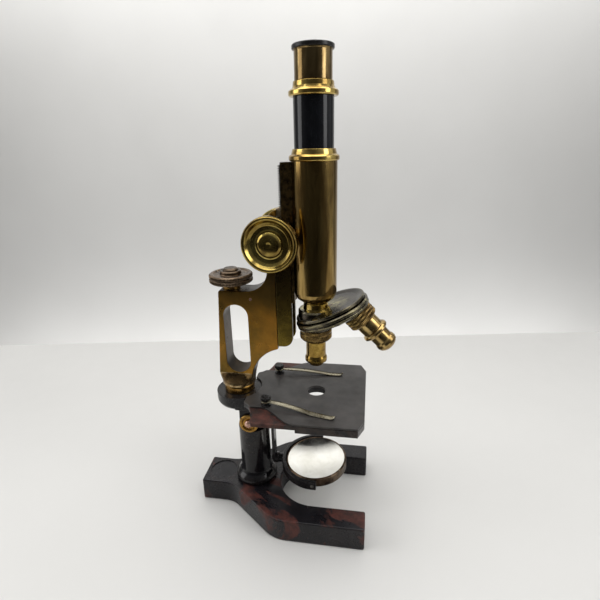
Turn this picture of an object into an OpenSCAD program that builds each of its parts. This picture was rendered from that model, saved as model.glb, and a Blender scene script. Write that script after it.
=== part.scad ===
// Brass compound microscope: horseshoe foot, pillar with inclination joint, square stage,
// open limb with lever fine adjustment, rack-and-pinion coarse adjustment, sliding draw tube,
// double nosepiece with two objectives, gimballed mirror.
// Frame: origin on the underside of the foot at the pillar axis, +X to the front (prong tips,
// stage, objectives), +Z up, Y = 0 is the plane of symmetry.

/* [Foot and pillar] */
// Length of the foot behind the pillar axis
heel_l = 45.5; // [42:0.5:50]
// Length of the foot in front of the pillar axis
prong_l = 94.7; // [88:0.1:100]
// Half width across the prongs
base_hw = 48.8; // [47:0.1:52]
// Half width of the heel
heel_hw = 15.2; // [14:0.1:16]
// Height of the foot
base_h = 19.8; // [17:0.1:22]
// Radius of the opening between the prongs
gap_r = 30.3; // [29:0.1:31]
// Radius of the pillar
pillar_r = 12.8; // [11:0.1:13]
// Height of the inclination axis
pivot_z = 80.7; // [80.7:0.1:81]

/* [Stage] */
// Height of the stage top
stage_z = 106.8; // [106.8:0.1:107.2]
// Half width of the stage
stage_hw = 46.5; // [44:0.1:48]
// Front edge of the stage from the pillar axis
stage_x = 91.8; // [88:0.1:95]
// Radius of the stage aperture
aperture_r = 7.1; // [5:0.1:9]

/* [Limb] */
// Thickness of the limb
limb_t = 17.5; // [17:0.1:18]
// Half width of the window through the limb
window_hw = 9.5; // [8:0.1:9.6]

/* [Optical tube] */
// Distance of the optical axis from the pillar axis
opt_x = 53.2; // [53.2:0.1:53.4]
// Outer radius of the body tube
tube_r = 15.5; // [15.4:0.1:15.5]
// Radius of the draw tube
draw_r = 13.1; // [13.1:0.01:13.12]
// Radius of the eyepiece tube
eye_r = 12.0; // [11.8:0.1:12.2]
// Top of the eyepiece cap
top_z = 348.2; // [347.5:0.1:349]

/* [Knobs] */
// Radius of the coarse adjustment knobs
coarse_r = 19.4; // [17:0.1:20]
// Radius of the fine adjustment knob
fine_r = 16.2; // [14:0.1:16.5]

/* [Mirror] */
// Radius of the mirror glasses
glass_r = 23.8; // [22:0.1:23.8]
// Side tilt of the mirror fork
fork_tilt = 3; // [0:0.5:4]
// Fore and aft tilt of the mirror in its fork
mirror_tilt = -2.3; // [-5:0.1:5]

/* [Hidden] */
$fn = 96;
limb_x = -9.8;
fine_x = -10.3;
pin_x = 25; pin_z = 228.5; modn = 0.5; teeth = 16;
pitch = PI * modn;
mir_x = 52.5; mir_z = 38.6;
p0z = 205; nose_a = 22.5;
clip_x = 18; clip_y = 25;
lev_x = 6.2; lev_z = 185.1;

function arc(cx, cy, r, a0, a1, n = 8) = [for (i = [0:n]) let (a = a0 + (a1 - a0) * i / n) [cx + r * cos(a), cy + r * sin(a)]];
// a cylinder along Y from y0 to y1
module ycyl(x, z, r, y0, y1) { translate([x, y1, z]) rotate([90, 0, 0]) cylinder(r = r, h = y1 - y0); }
// a cylinder along X from x0 to x1
module xcyl(y, z, r, x0, x1) { translate([x0, y, z]) rotate([0, 90, 0]) cylinder(r = r, h = x1 - x0); }
// a plate drawn in X and Z, from y0 to y1
module xz(y0, y1) { translate([0, y1, 0]) rotate([90, 0, 0]) linear_extrude(height = y1 - y0) children(); }
// a box given by its two corners
module bx(a, b) { translate(a) cube([b[0] - a[0], b[1] - a[1], b[2] - a[2]]); }
// turned part: profile of [radius, height] about a vertical axis
module turned(pts) { rotate_extrude() polygon(pts); }
module at_opt() { translate([opt_x, 0, 0]) children(); }
// frames whose +Z runs down the nosepiece axis and down each objective
module nose() { translate([opt_x, 0, p0z]) rotate([0, 180 - nose_a, 0]) children(); }
module obj_low() { translate([opt_x, 0, p0z]) rotate([0, 180, 0]) children(); }
module obj_high() { translate([opt_x, 0, p0z]) rotate([0, 180 - 2 * nose_a, 0]) children(); }
module fork_pose() { translate([0, 0, mir_z]) rotate([fork_tilt, 0, 0]) translate([0, 0, -mir_z]) children(); }
module mirror_pose() { fork_pose() translate([mir_x, 0, mir_z]) rotate([0, mirror_tilt, 0]) translate([-mir_x, 0, -mir_z]) children(); }

// ---------- foot and pillar ----------
module base_outline() {
  // sloped shoulders between heel and prongs, each tangent to a hollow and a round corner
  k = base_hw - 48.8;
  difference() {
    polygon([[prong_l, -base_hw], [prong_l, base_hw], [33.8, base_hw], [16.4, 42.7 + k], [-12.2, 20], [-25.9, heel_hw], [-heel_l, heel_hw],
      [-heel_l, -heel_hw], [-25.9, -heel_hw], [-12.2, -20], [16.4, -42.7 - k], [33.8, -base_hw]]);
    for (s = [-1, 1]) translate([-25.9, s * (heel_hw + 22)]) circle(r = 22);
  }
  for (s = [-1, 1]) translate([33.8, s * (base_hw - 28)]) circle(r = 28);
}
module base() {
  color([0.09, 0.075, 0.08]) difference() {
    linear_extrude(height = base_h) difference() {
      base_outline();
      translate([52, 0]) circle(r = gap_r);
      translate([52, -gap_r]) square([60, 2 * gap_r]);
    }
    // shallow round recess on the heel
    translate([-30.5, 0, base_h - 0.8]) cylinder(r = 11.8, h = 2);
    // threaded socket for the pillar
    translate([0, 0, 8]) cylinder(r = 6, h = 20);
  }
}
module pillar() {
  color([0.05, 0.05, 0.055]) difference() {
    union() {
      turned([[0, 8.4], [6, 8.4], [6, base_h], [16, base_h], [17.2, 21.2], [17.4, 23], [17, 25], [15.6, 26.8], [13.9, 28.4], [13, 30.6], [pillar_r, 33], [pillar_r, 72], [0, 72]]);
      // tongue of the inclination joint
      ycyl(0, pivot_z, 10.4, -6.6, 6.6);
      bx([-10.4, -6.6, 70], [10.4, 6.6, pivot_z]);
    }
    ycyl(0, pivot_z, 3.56, -20, 20);
  }
}
module pivot_pin() { color([0.72, 0.55, 0.25]) ycyl(0, pivot_z, 3.5, -13, 13); }
module pivot_washers() {
  color([0.76, 0.58, 0.24]) for (s = [-1, 1]) scale([1, s, 1])
    difference() {
      ycyl(0, pivot_z, 8, 13, 15.4);
      ycyl(0, pivot_z, 5.2, 14.2, 20);
      ycyl(0, pivot_z, 1.9, 10, 20);
    }
}
module pivot_screws() {
  color([0.78, 0.62, 0.55]) for (s = [-1, 1]) mirror([0, s > 0 ? 0 : 1, 0])
    difference() {
      translate([0, 14.2, pivot_z]) rotate([-90, 0, 0]) union() {
        turned([[0, 0], [3.4, 0], [3.4, 0.9], [2.9, 1.9], [1.8, 2.6], [0, 2.9]]);
        translate([0, 0, -1.2]) cylinder(r = 1.9, h = 1.3);
      }
      bx([-4, 16.3, pivot_z - 0.4], [4, 18, pivot_z + 0.4]);
    }
}

// ---------- stage and bracket ----------
module stage_bracket() {
  color([0.11, 0.105, 0.105]) difference() {
    union() {
      // round boss under the limb
      translate([limb_x - 0.4, 0, 0]) turned([[0, 94], [13, 94], [16.2, 94.9], [17.8, 97], [18.2, 99.4], [18.2, 105.2], [0, 105.2]]);
      // neck and front web under the stage
      bx([limb_x, -17, 94], [14, 17, 101.8]);
      bx([8, -13, 92], [36, 13, 101.8]);
      bx([8, -13, 90], [22, 13, 93]);
      // two cheeks down to the joint
      for (s = [-1, 1]) mirror([0, s > 0 ? 0 : 1, 0]) {
        ycyl(0, pivot_z, 8, 7, 13);
        bx([-8, 7, pivot_z], [8, 13, 94.5]);
      }
    }
    // room for the tongue
    ycyl(0, pivot_z, 10.9, -7, 7);
    ycyl(0, pivot_z, 3.5, -20, 20);
    // limb bolt with its head sunk from below
    translate([limb_x, 0, 90]) cylinder(r = 6.7, h = 8);
    translate([limb_x, 0, 90]) cylinder(r = 3.6, h = 20);
    // stage screws
    for (p = [[12, 0], [29, 9], [29, -9]]) translate([p[0], p[1], 94.8]) cylinder(r = 1.6, h = 20);
    
    // mirror bar screws
    for (z = [92.5, 97.5]) xcyl(0, z, 1.3, 14, 22);
    // seat for the mirror bar
    bx([15.4, -4.1, 85], [19.4, 4.1, 100.2]);
  }
}
module stage_outline() {
  // square plate whose rear edge sweeps in hollow curves from the corners to the boss
  difference() {
    translate([0, -stage_hw]) square([stage_x, 2 * stage_hw]);
    for (s = [-1, 1]) mirror([0, s > 0 ? 0 : 1]) {
      polygon([[-1, 60], [12.1, 60], [12.1, stage_hw], [11, stage_hw - 0.7], [10.3, stage_hw - 2.2], [9.5, 40], [8.5, 35.5], [7.2, 31.4], [5.4, 27.8], [3.6, 25.4], [1.3, 23.7], [-1, 22.8]]);
      polygon([[stage_x - 4.4, stage_hw + 0.1], [stage_x + 0.1, stage_hw - 10.6], [stage_x + 1, stage_hw + 1]]);
    }
    translate([limb_x - 0.4, 0]) circle(r = 18.2);
  }
}
module stage_body() {
  color([0.15, 0.11, 0.10]) difference() {
    union() {
      translate([0, 0, 101.8]) linear_extrude(height = stage_z - 1.6 - 101.8) stage_outline();
      bx([43.4, -stage_hw, 99.3], [stage_x - 4.4, stage_hw, 101.9]);
      bx([stage_x - 4.5, -stage_hw + 10.6, 99.3], [stage_x, stage_hw - 10.6, 101.9]);
    }
    translate([opt_x, 0, 90]) cylinder(r = aperture_r + 2.2, h = 30);
    for (s = [-1, 1]) translate([clip_x, s * clip_y, 90]) cylinder(r = 1.85, h = 30);
    for (p = [[12, 0], [29, 9], [29, -9]]) {
      translate([p[0], p[1], 90]) cylinder(r = 1.6, h = 30);
      translate([p[0], p[1], 103.2]) cylinder(r = 3.1, h = 30);
    }
  }
}
module stage_plate() {
  color([0.20, 0.195, 0.19]) translate([0, 0, stage_z - 1.6]) linear_extrude(height = 1.6) difference() {
    intersection() {
      stage_outline();
      // both rear corners are cut back in an S curve
      union() {
        translate([-30, -28.2]) square([60, 56.4]);
        translate([42, -stage_hw]) square([60, 2 * stage_hw]);
        polygon(concat([for (i = [0:12]) let (t = i / 12) [14.2 + 28.2 * t, -28.2 - (stage_hw - 28.2) * (1 - cos(180 * t)) / 2]],
          [for (i = [12:-1:0]) let (t = i / 12) [14.2 + 28.2 * t, 28.2 + (stage_hw - 28.2) * (1 - cos(180 * t)) / 2]]));
      }
    }
    translate([opt_x, 0]) circle(r = aperture_r);
    for (s = [-1, 1]) translate([clip_x, s * clip_y]) circle(r = 1.85);
  }
}
module stage_screws() {
  color([0.5, 0.48, 0.45]) for (p = [[12, 0], [29, 9], [29, -9]]) translate([p[0], p[1], 0]) difference() {
    union() {
      translate([0, 0, 95.2]) cylinder(r = 1.6, h = 8.1);
      translate([0, 0, 103.2]) cylinder(r = 3.1, h = 1.9);
    }
    bx([-4, -0.4, 104.3], [4, 0.4, 106]);
  }
}
module clip_post() {
  // stud through the stage, shoulder, stem and milled head
  turned([[0, 98], [1.8, 98], [1.8, stage_z + 0.1], [3.9, stage_z + 0.1], [3.9, 107.8], [2.2, 108.4], [2.2, 111.5], [3.5, 111.5], [3.9, 112], [3.9, 113.5], [3.3, 114.3], [0, 114.5]]);
}
module clip_blade(a, l, k) {
  // flat spring: eye on the stem, arched blade, turned-up tip
  difference() {
    union() {
      translate([0, 0, 109.9]) cylinder(r = 3.6, h = 0.9);
      rotate([0, 0, a]) xz(-1.9, 1.9) polygon(concat(
        [for (i = [0:20]) let (x = 2.4 + 49.6 * i / 20) [x, bz(x, l, k) + 0.9]], [[54.4, 108.9]],
        [[54.7, 108.2]], [for (i = [20:-1:0]) let (x = 2.4 + 49.6 * i / 20) [x, bz(x, l, k)]]));
    }
    translate([0, 0, 100]) cylinder(r = 2.2, h = 20);
  }
}
// height of a blade's underside at x; l is where it comes down to the stage, k its arch
function bz(x, l, k) = stage_z + 0.3 + 2.85 * pow(max(0, cos(90 * min(x, l) / l)), 0.9) + k * sin(180 * min(x, 40) / 40);
module clip_post_near() { color([0.2, 0.18, 0.14]) translate([clip_x, -clip_y, 0]) clip_post(); }
module clip_blade_near() { color([0.68, 0.66, 0.58]) translate([clip_x, -clip_y, 0]) clip_blade(-13, 36, 0.3); }
module clip_post_far() { color([0.2, 0.18, 0.14]) translate([clip_x, clip_y, 0]) clip_post(); }
module clip_blade_far() { color([0.68, 0.66, 0.58]) translate([clip_x, clip_y, 0]) clip_blade(1, 46, 0.6); }

// ---------- mirror ----------
module mirror_bar() {
  color([0.07, 0.07, 0.075]) difference() {
    union() {
      bx([15.4, -4, mir_z], [17.6, 4, 100]);
      xcyl(0, mir_z, 4, 15.4, 17.6);
      xcyl(0, mir_z, 4.4, 17.6, 20.4);
    }
    xcyl(0, mir_z, 2.05, 10, 24);
    for (z = [92.5, 97.5]) xcyl(0, z, 1.3, 14, 22);
  }
}
module mirror_bar_screws() {
  color([0.45, 0.42, 0.36]) for (z = [92.5, 97.5]) difference() {
    union() { xcyl(0, z, 1.3, 14, 17.7); xcyl(0, z, 2.1, 17.6, 18.7); }
    bx([18.2, -3, z - 0.3], [19, 3, z + 0.3]);
  }
}
module mirror_fork() {
  color([0.07, 0.065, 0.065]) fork_pose() difference() {
    union() {
      intersection() {
        translate([mir_x, 0, mir_z - 3.7]) difference() { cylinder(r = 28.8, h = 7.4); translate([0, 0, -1]) cylinder(r = 25.95, h = 12); }
        bx([0, -40, 0], [mir_x + 3, 40, 80]);
      }
      xcyl(0, mir_z, 3.7, 20.7, 25.4);
      xcyl(0, mir_z, 2, 14.2, 21);
    }
    for (s = [-1, 1]) ycyl(mir_x, mir_z, 1.5, s * 27.4 - 3, s * 27.4 + 3);
  }
}
module mirror_trunnions() {
  color([0.5, 0.42, 0.3]) fork_pose() for (s = [-1, 1]) ycyl(mir_x, mir_z, 1.5, min(s * 24, s * 28.8), max(s * 24, s * 28.8));
}
module mirror_cell() {
  // ring with a web between the two glasses
  color([0.33, 0.23, 0.16]) mirror_pose() difference() {
    translate([mir_x, 0, mir_z - 4]) cylinder(r = 25.3, h = 8);
    translate([mir_x, 0, mir_z - 0.2]) cylinder(r = glass_r, h = 8);
    translate([mir_x, 0, mir_z - 10.2]) cylinder(r = glass_r, h = 8);
    for (s = [-1, 1]) ycyl(mir_x, mir_z, 1.56, min(s * 23.7, s * 26), max(s * 23.7, s * 26));
  }
}
module mirror_concave_glass() {
  // hollow face of 95 mm radius, uppermost
  color([0.85, 0.86, 0.86]) mirror_pose() translate([mir_x, 0, mir_z])
    turned(concat([[0, -0.2], [glass_r, -0.2]], [for (i = [8:-1:0]) let (r = glass_r * i / 8) [r, 3.6 - (glass_r * glass_r - r * r) / 190]]));
}
module mirror_plane_glass() { color([0.8, 0.82, 0.82]) mirror_pose() translate([mir_x, 0, mir_z - 3.6]) cylinder(r = glass_r, h = 1.4); }

// ---------- limb and fine adjustment ----------
module limb() {
  color([0.66, 0.47, 0.19]) difference() {
    union() {
      difference() {
        xz(-limb_t / 2, limb_t / 2) difference() {
          polygon([[-22.7, 122.8], [-20.2, 160], [-18.4, 190], [-17.6, 191], [3.3, 191], [19.3, 207], [19.3, 214], [25.2, 214], [25.2, 122.8]]);
          translate([32.7, 117.5]) circle(r = 29, $fn = 160);
          // window
          translate([-6.4, 133.5]) circle(r = window_hw);
          translate([-6.4, 170.7]) circle(r = window_hw);
          translate([-6.4 - window_hw, 133.5]) square([2 * window_hw, 37.2]);
        }
      }
      // hollow curve between the top and the neck
      xz(-limb_t / 2, limb_t / 2) difference() {
        polygon([[3.3, 190.5], [3.3, 191], [3.3, 207], [19.3, 207], [19.5, 190.5]]);
        translate([3.3, 207]) circle(r = 16);
      }
      // round foot
      intersection() {
        translate([limb_x, 0, 112.4]) cylinder(r = 13.4, h = 10.5);
        translate([-40, 0, 0]) rotate([90, 0, 90]) linear_extrude(height = 60) polygon([[-14, 112], [-14, 115], [-limb_t / 2, 122.9], [limb_t / 2, 122.9], [14, 115], [14, 112]]);
      }
    }
    // dovetail groove for the fine slide
    translate([0, 0, 149.5]) linear_extrude(height = 80) polygon([[21.9, -6.12], [21.9, 6.12], [25.6, 4.25], [25.6, -4.25]]);
    // lever chamber, spindle hole, lever pin hole
    bx([-15, -2.5, 181.8], [23, 2.5, 188.4]);
    translate([fine_x, 0, 187]) cylinder(r = 4, h = 10);
    ycyl(lev_x, lev_z, 1.2, -20, 20);
    // limb bolt thread
    translate([limb_x, 0, 105]) cylinder(r = 3.6, h = 12.8);
  }
}
module limb_collar() { color([0.72, 0.53, 0.2]) difference() { translate([limb_x, 0, 0]) turned([[0, 105.2], [11.7, 105.2], [12, 106], [12, 110.4], [11.2, 112.4], [0, 112.4]]); translate([limb_x, 0, 100]) cylinder(r = 3.6, h = 20); } }
module limb_bolt() { color([0.3, 0.3, 0.31]) translate([limb_x, 0, 0]) difference() { union() { translate([0, 0, 94.6]) cylinder(r = 6.5, h = 3.4); translate([0, 0, 97.9]) cylinder(r = 3.6, h = 19.5); } bx([-8, -0.8, 94], [8, 0.8, 96]); } }
module fine_bush() { color([0.7, 0.5, 0.2]) translate([fine_x, 0, 0]) difference() { union() { translate([0, 0, 188.4]) cylinder(r = 4, h = 2.7); turned([[0, 191], [6.6, 191], [6.6, 193], [5.2, 194.6], [0, 194.6]]); } translate([0, 0, 180]) cylinder(r = 2.06, h = 30); } }
module fine_spindle() { color([0.5, 0.48, 0.44]) translate([fine_x, 0, 0]) turned([[0, 187.5], [1.4, 187.5], [2, 188.2], [2, 203], [0, 203]]); }
module fine_knob() {
  color([0.35, 0.24, 0.13]) translate([fine_x, 0, 0]) difference() {
    turned([[0, 195], [6, 195], [9, 196], [15.2, 196], [fine_r, 196.8], [fine_r, 198.6], [15.4, 199.1], [15.4, 199.7], [fine_r, 200.2], [fine_r, 201.8], [15.2, 202.7], [13.4, 202.7],
      [12.4, 202], [8.4, 202], [8, 202.6], [8, 204.2], [7.4, 204.8], [6, 204.8], [5.8, 205.6], [4.8, 206.5], [0, 206.8]]);
    translate([0, 0, 190]) cylinder(r = 2, h = 13);
  }
}
module fine_lever() {
  color([0.45, 0.44, 0.42]) difference() {
    xz(-2, 2) polygon([[-13.5, 184.1], [-13.5, 186.1], [2, 186.3], [3.2, 187], [9.2, 187], [10.4, 186.3], [24.6, 186.1], [24.6, 184.1], [10.4, 183.9], [9.2, 183.2], [3.2, 183.2], [2, 183.9]]);
    ycyl(lev_x, lev_z, 1.26, -20, 20);
  }
}
module fine_lever_pin() { color([0.6, 0.45, 0.22]) ycyl(lev_x, lev_z, 1.2, -limb_t / 2, limb_t / 2); }
module fine_spring() {
  // closely coiled thrust spring under the fine slide
  color([0.4, 0.4, 0.42]) union() {
    for (i = [0:8]) translate([23.65, 0, 149.9 + 0.4 + i * 1.09]) rotate_extrude() translate([1.15, 0]) circle(r = 0.32, $fn = 24);
    translate([23.65 - 1.15 - 0.2, -0.2, 149.9 + 0.3]) cube([0.4, 0.4, 9]);
  }
}

// ---------- fine slide block with the pinion box ----------
module slide_block() {
  color([0.48, 0.38, 0.15]) difference() {
    union() {
      xz(-limb_t / 2, limb_t / 2) polygon(concat([[25.5, 148]], arc(29.8, 155, 7, -90, 0, 8), [[36.8, 241.8], [25.5, 241.8]]));
      translate([0, 0, 160]) linear_extrude(height = 44) polygon([[22.05, -6], [22.05, 6], [25.6, 4.15], [25.6, -4.15]]);
    }
    // dovetail way for the tube slide and channel for the rack
    translate([0, 0, 140]) linear_extrude(height = 120) polygon([[31.2, -7.3], [31.2, 7.3], [37, 5.3], [37, -5.3]]);
    bx([28.1, -3.1, 140], [31.3, 3.1, 260]);
    // room for the pinion and its bearings
    ycyl(pin_x, pin_z, 5.2, -3, 3);
    ycyl(pin_x, pin_z, 2.56, -20, 20);
    // pocket for the lever
    bx([20, -2.3, 183.6], [25.1, 2.3, 186.7]);
    for (z = [219.5, 238.5], y = [-5.6, 5.6]) xcyl(y, z, 1.2, 20, 27.6);
  }
}
module pinion_cover() {
  color([0.74, 0.56, 0.2]) difference() {
    xz(-limb_t / 2, limb_t / 2) polygon([[25.5, 215.6], [19.6, 215.6], [17.4, 218], [16.2, 222], [15.8, 228.5], [16.8, 235], [18.6, 240.5], [21.4, 245.6], [24.2, 248.6], [26.8, 250], [28, 250.3], [28, 241.8], [25.5, 241.8]]);
    ycyl(pin_x, pin_z, 5.2, -3, 3);
    ycyl(pin_x, pin_z, 2.56, -20, 20);
    for (z = [219.5, 238.5], y = [-5.6, 5.6]) { xcyl(y, z, 1.2, 10, 27); xcyl(y, z, 2.1, 10, 20.4); }
  }
}
module cover_screws() {
  color([0.6, 0.5, 0.3]) for (z = [219.5, 238.5], y = [-5.6, 5.6]) difference() {
    union() { xcyl(y, z, 1.2, 20.3, 27.2); xcyl(y, z, 2.05, 19, 20.4); }
    bx([18.5, y - 3, z - 0.25], [19.5, y + 3, z + 0.25]);
  }
}
module pinion_bushes() { color([0.7, 0.52, 0.2]) for (s = [-1, 1]) mirror([0, s > 0 ? 0 : 1, 0]) difference() { ycyl(pin_x, pin_z, 7.2, limb_t / 2, 12.4); ycyl(pin_x, pin_z, 2.56, 0, 20); } }
module pinion() {
  color([0.42, 0.42, 0.42]) union() {
    ycyl(pin_x, pin_z, 2.5, -18.8, 18.8);
    translate([pin_x, 2.4, pin_z]) rotate([90, 0, 0]) linear_extrude(height = 4.8) union() {
      circle(r = 3.4);
      for (i = [0:teeth - 1]) rotate(360 / teeth * i) polygon([[3.2, -0.42], [4, -0.3], [4.45, -0.16], [4.45, 0.16], [4, 0.3], [3.2, 0.42]]);
    }
  }
}
module coarse_knob() {
  // hub, milled rim, dished face and domed centre with a dimple
  difference() {
    turned([[0, 0], [6, 0], [6, 2], [7.4, 3.2], [17.4, 3.2], [coarse_r - 0.4, 3.9], [coarse_r, 4.8], [coarse_r, 9.8], [coarse_r - 0.8, 10.9], [coarse_r - 1.7, 11.2], [16.7, 10.7], [15.2, 8.8], [13, 7.4], [10.4, 7], [9.3, 7.3],
      [9.1, 8], [8.6, 9.2], [7, 10.3], [4.8, 10.9], [2.4, 11.1], [1.6, 10.9], [0, 10.2]]);
    translate([0, 0, -1]) cylinder(r = 2.5, h = 7.1);
  }
}
module coarse_knob_near() { color([0.78, 0.66, 0.28]) translate([pin_x, -12.8, pin_z]) rotate([90, 0, 0]) coarse_knob(); }
module coarse_knob_far() { color([0.78, 0.66, 0.28]) translate([pin_x, 12.8, pin_z]) rotate([-90, 0, 0]) coarse_knob(); }

// ---------- body tube with its slide and rack ----------
module tube_slide() {
  color([0.2, 0.11, 0.07]) difference() {
    translate([0, 0, 182]) linear_extrude(height = 98.5) polygon([[31.3, -7.14], [31.3, 7.14], [36.9, 5.2], [39.5, 5], [39.5, -5], [36.9, -5.2]]);
    at_opt() translate([0, 0, 170]) cylinder(r = tube_r, h = 120);
    for (z = [190, 270]) xcyl(0, z, 1, 30, 35);
  }
}
module rack() {
  // toothed bar: root land with straight-sided teeth
  n = floor(96.6 / pitch) - 1;
  color([0.1, 0.1, 0.1]) difference() {
    xz(-2.5, 2.5) union() {
      translate([29.65, 182]) square([1.65, 96.6]);
      for (j = [-29:31]) translate([0, pin_z + (j + 0.5) * pitch]) polygon([[29.75, 0.5], [29, 0.3], [28.5, 0.14], [28.5, -0.14], [29, -0.3], [29.75, -0.5]]);
    }
    for (z = [190, 270]) xcyl(0, z, 1, 20, 35);
  }
}
module rack_screws() { color([0.35, 0.35, 0.36]) for (z = [190, 270]) xcyl(0, z, 1, 29.9, 34.8); }
module body_tube() {
  color([0.66, 0.53, 0.2]) at_opt() turned([[9.6, 183.5], [11.8, 184.4], [13.6, 186], [14.9, 188.2], [tube_r, 190.8], [tube_r, 281], [14.3, 281], [14.3, 190.6], [12, 187.4], [8, 186.4], [8, 183.5]]);
}
module tube_collar() {
  color([0.74, 0.6, 0.24]) at_opt() turned([[draw_r + 0.07, 272], [14.3, 272], [14.3, 281], [16.2, 281], [16.8, 281.7], [16.8, 283.8], [16.2, 284.6], [15.2, 285], [14.9, 286.2], [14.3, 288.4], [draw_r + 0.07, 288.6]]);
}
module draw_tube() {
  color([0.05, 0.055, 0.07]) at_opt() difference() { translate([0, 0, 222]) cylinder(r = draw_r, h = 97.5); translate([0, 0, 221]) cylinder(r = 12.2, h = 100); }
}
module draw_ring() {
  color([0.76, 0.62, 0.26]) at_opt() turned([[11.68, 319.5], [15.3, 319.5], [16, 320.2], [16, 322.3], [15.4, 323], [13.9, 323.6], [13.2, 325.2], [12.9, 328], [11.68, 328]]);
}
module eyepiece_tube() {
  color([0.72, 0.58, 0.24]) at_opt() turned([[10.8, 296], [11.6, 296], [11.6, 328.3], [eye_r, 328.3], [eye_r, 344.6], [12.6, 345.6], [10.8, 345.6]]);
}
module eyepiece_cap() {
  color([0.05, 0.05, 0.05]) at_opt() turned([[7, 341], [10.8, 341], [10.8, 345.6], [13, 345.6], [13.3, 346], [13.3, top_z - 0.5], [12.9, top_z], [11.2, top_z], [9.6, 347.2], [4, 346.4], [3.6, 346], [3.6, 345], [7, 344.6]]);
}
module eye_lens() { color([0.8, 0.9, 0.95, 0.5]) at_opt() turned([[0, 341.4], [3.4, 341.6], [7, 342.6], [7, 344.4], [0, 344.4]]); }
module field_lens() { color([0.8, 0.9, 0.95, 0.5]) at_opt() turned([[0, 297.2], [5, 297.7], [10.8, 299.8], [10.8, 301.6], [0, 301.6]]); }
module eyepiece_stop() { color([0.06, 0.06, 0.06]) at_opt() turned([[5, 321], [10.8, 320.4], [10.8, 322], [5, 321.6]]); }

// ---------- nosepiece and objectives ----------
module nosepiece_neck() {
  // foot cut back square to the nosepiece axis, clear of the disc, with room for the end of the pivot screw
  color([0.76, 0.56, 0.2]) difference() {
    at_opt() turned([[7, 174], [9.3, 174], [9.3, 177.2], [9, 178.2], [9, 182], [9.6, 183.5], [7, 183.5]]);
    nose() translate([0, 0, 29.4]) cylinder(r = 60, h = 40);
    nose() translate([0, 0, 20]) cylinder(r = 2.5, h = 20);
  }
}
module nosepiece_dish() {
  color([0.42, 0.38, 0.3]) difference() {
    union() {
      nose() turned([[0, 27.6], [14, 28], [21, 27.8], [24.6, 26.8], [26.3, 26.8], [26.6, 27.3], [26.6, 28.6], [25.6, 29.6], [0, 29.6]]);
      intersection() {
        at_opt() turned([[0, 166], [12.8, 166], [12.8, 176], [11.8, 177.2], [0, 177.2]]);
        nose() cylinder(r = 40, h = 29.6);
      }
    }
    at_opt() translate([0, 0, 160]) cylinder(r = 7, h = 30);
    at_opt() translate([0, 0, 174]) cylinder(r = 9.3, h = 10);
    nose() translate([0, 0, 20]) cylinder(r = 2.4, h = 20);
    // sunk seat for the click spring
    nose() bx([-3, 9, 28.6], [3, 22, 30]);
  }
}
module click_spring() { color([0.5, 0.5, 0.48]) nose() bx([-2.4, 9.6, 28.6], [2.4, 21.4, 29.1]); }
module nosepiece_screw() {
  color([0.35, 0.3, 0.2]) nose() difference() {
    union() { translate([0, 0, 27.6]) cylinder(r = 2.4, h = 3); translate([0, 0, 29.6]) cylinder(r = 3.4, h = 12.1); turned([[0, 41.7], [5, 41.7], [4.7, 43], [3.2, 44.1], [0, 44.6]]); }
    bx([-7, -0.5, 43.6], [7, 0.5, 46]);
  }
}
module nosepiece_disc() {
  color([0.24, 0.21, 0.17]) difference() {
    union() {
      nose() turned([[3.46, 29.9], [27, 29.9], [28, 30.6], [28, 31.8], [27.2, 32.3], [27.2, 32.9], [28, 33.4], [27.8, 34.6], [26.4, 35.6], [9, 41.2], [3.46, 41.5]]);
      intersection() { obj_low() cylinder(r = 11.2, h = 43.6); nose() translate([0, 0, 31]) cylinder(r = 28, h = 30); }
      intersection() { obj_high() cylinder(r = 11.2, h = 42.4); nose() translate([0, 0, 31]) cylinder(r = 28, h = 30); }
    }
    obj_low() { translate([0, 0, 20]) cylinder(r = 7.9, h = 40); translate([0, 0, 38.6]) cylinder(r = 10.1, h = 20); }
    obj_high() { translate([0, 0, 20]) cylinder(r = 7.9, h = 40); translate([0, 0, 38.6]) cylinder(r = 10.1, h = 20); translate([0, 0, 42.4]) cylinder(r = 12.2, h = 20); }
    nose() translate([0, 0, 20]) cylinder(r = 3.46, h = 40);
    nose() translate([0, 0, 41.5]) cylinder(r = 5.6, h = 20);
  }
}
module low_objective_mount() { color([0.5, 0.4, 0.22]) obj_low() turned([[6.6, 38.6], [10.1, 38.6], [10.1, 43.6], [11.6, 43.6], [12, 44.2], [12, 45.6], [11.5, 46.1], [11.5, 46.7], [12, 47.3], [12, 50.6], [11, 51.8], [9.6, 52.8], [7.9, 54], [6.6, 54]]); }
module low_objective_barrel() { color([0.72, 0.58, 0.24]) obj_low() turned([[5, 48], [6.6, 48], [6.6, 54], [7.55, 54], [7.55, 65.4], [8.3, 67.2], [8.5, 68.8], [8.3, 70.4], [7, 71.4], [5.6, 72.2], [5.3, 73.7], [2.4, 73.7], [2.4, 71], [5, 68]]); }
module low_objective_lens() { color([0.75, 0.85, 0.95, 0.5]) obj_low() turned([[0, 71.2], [2.4, 71.2], [2.4, 73.1], [0, 73.5]]); }
module high_objective_mount() { color([0.5, 0.4, 0.22]) obj_high() turned([[7, 38.6], [10.1, 38.6], [10.1, 42.4], [11.2, 42.4], [11.6, 43], [11.6, 44.2], [11.1, 44.7], [11.1, 45.1], [11.6, 45.6], [11.6, 46.8], [11.1, 47.3], [11.1, 47.7], [11.6, 48.2], [11.5, 50], [10.4, 51.2], [8.6, 52], [7, 52]]); }
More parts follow.
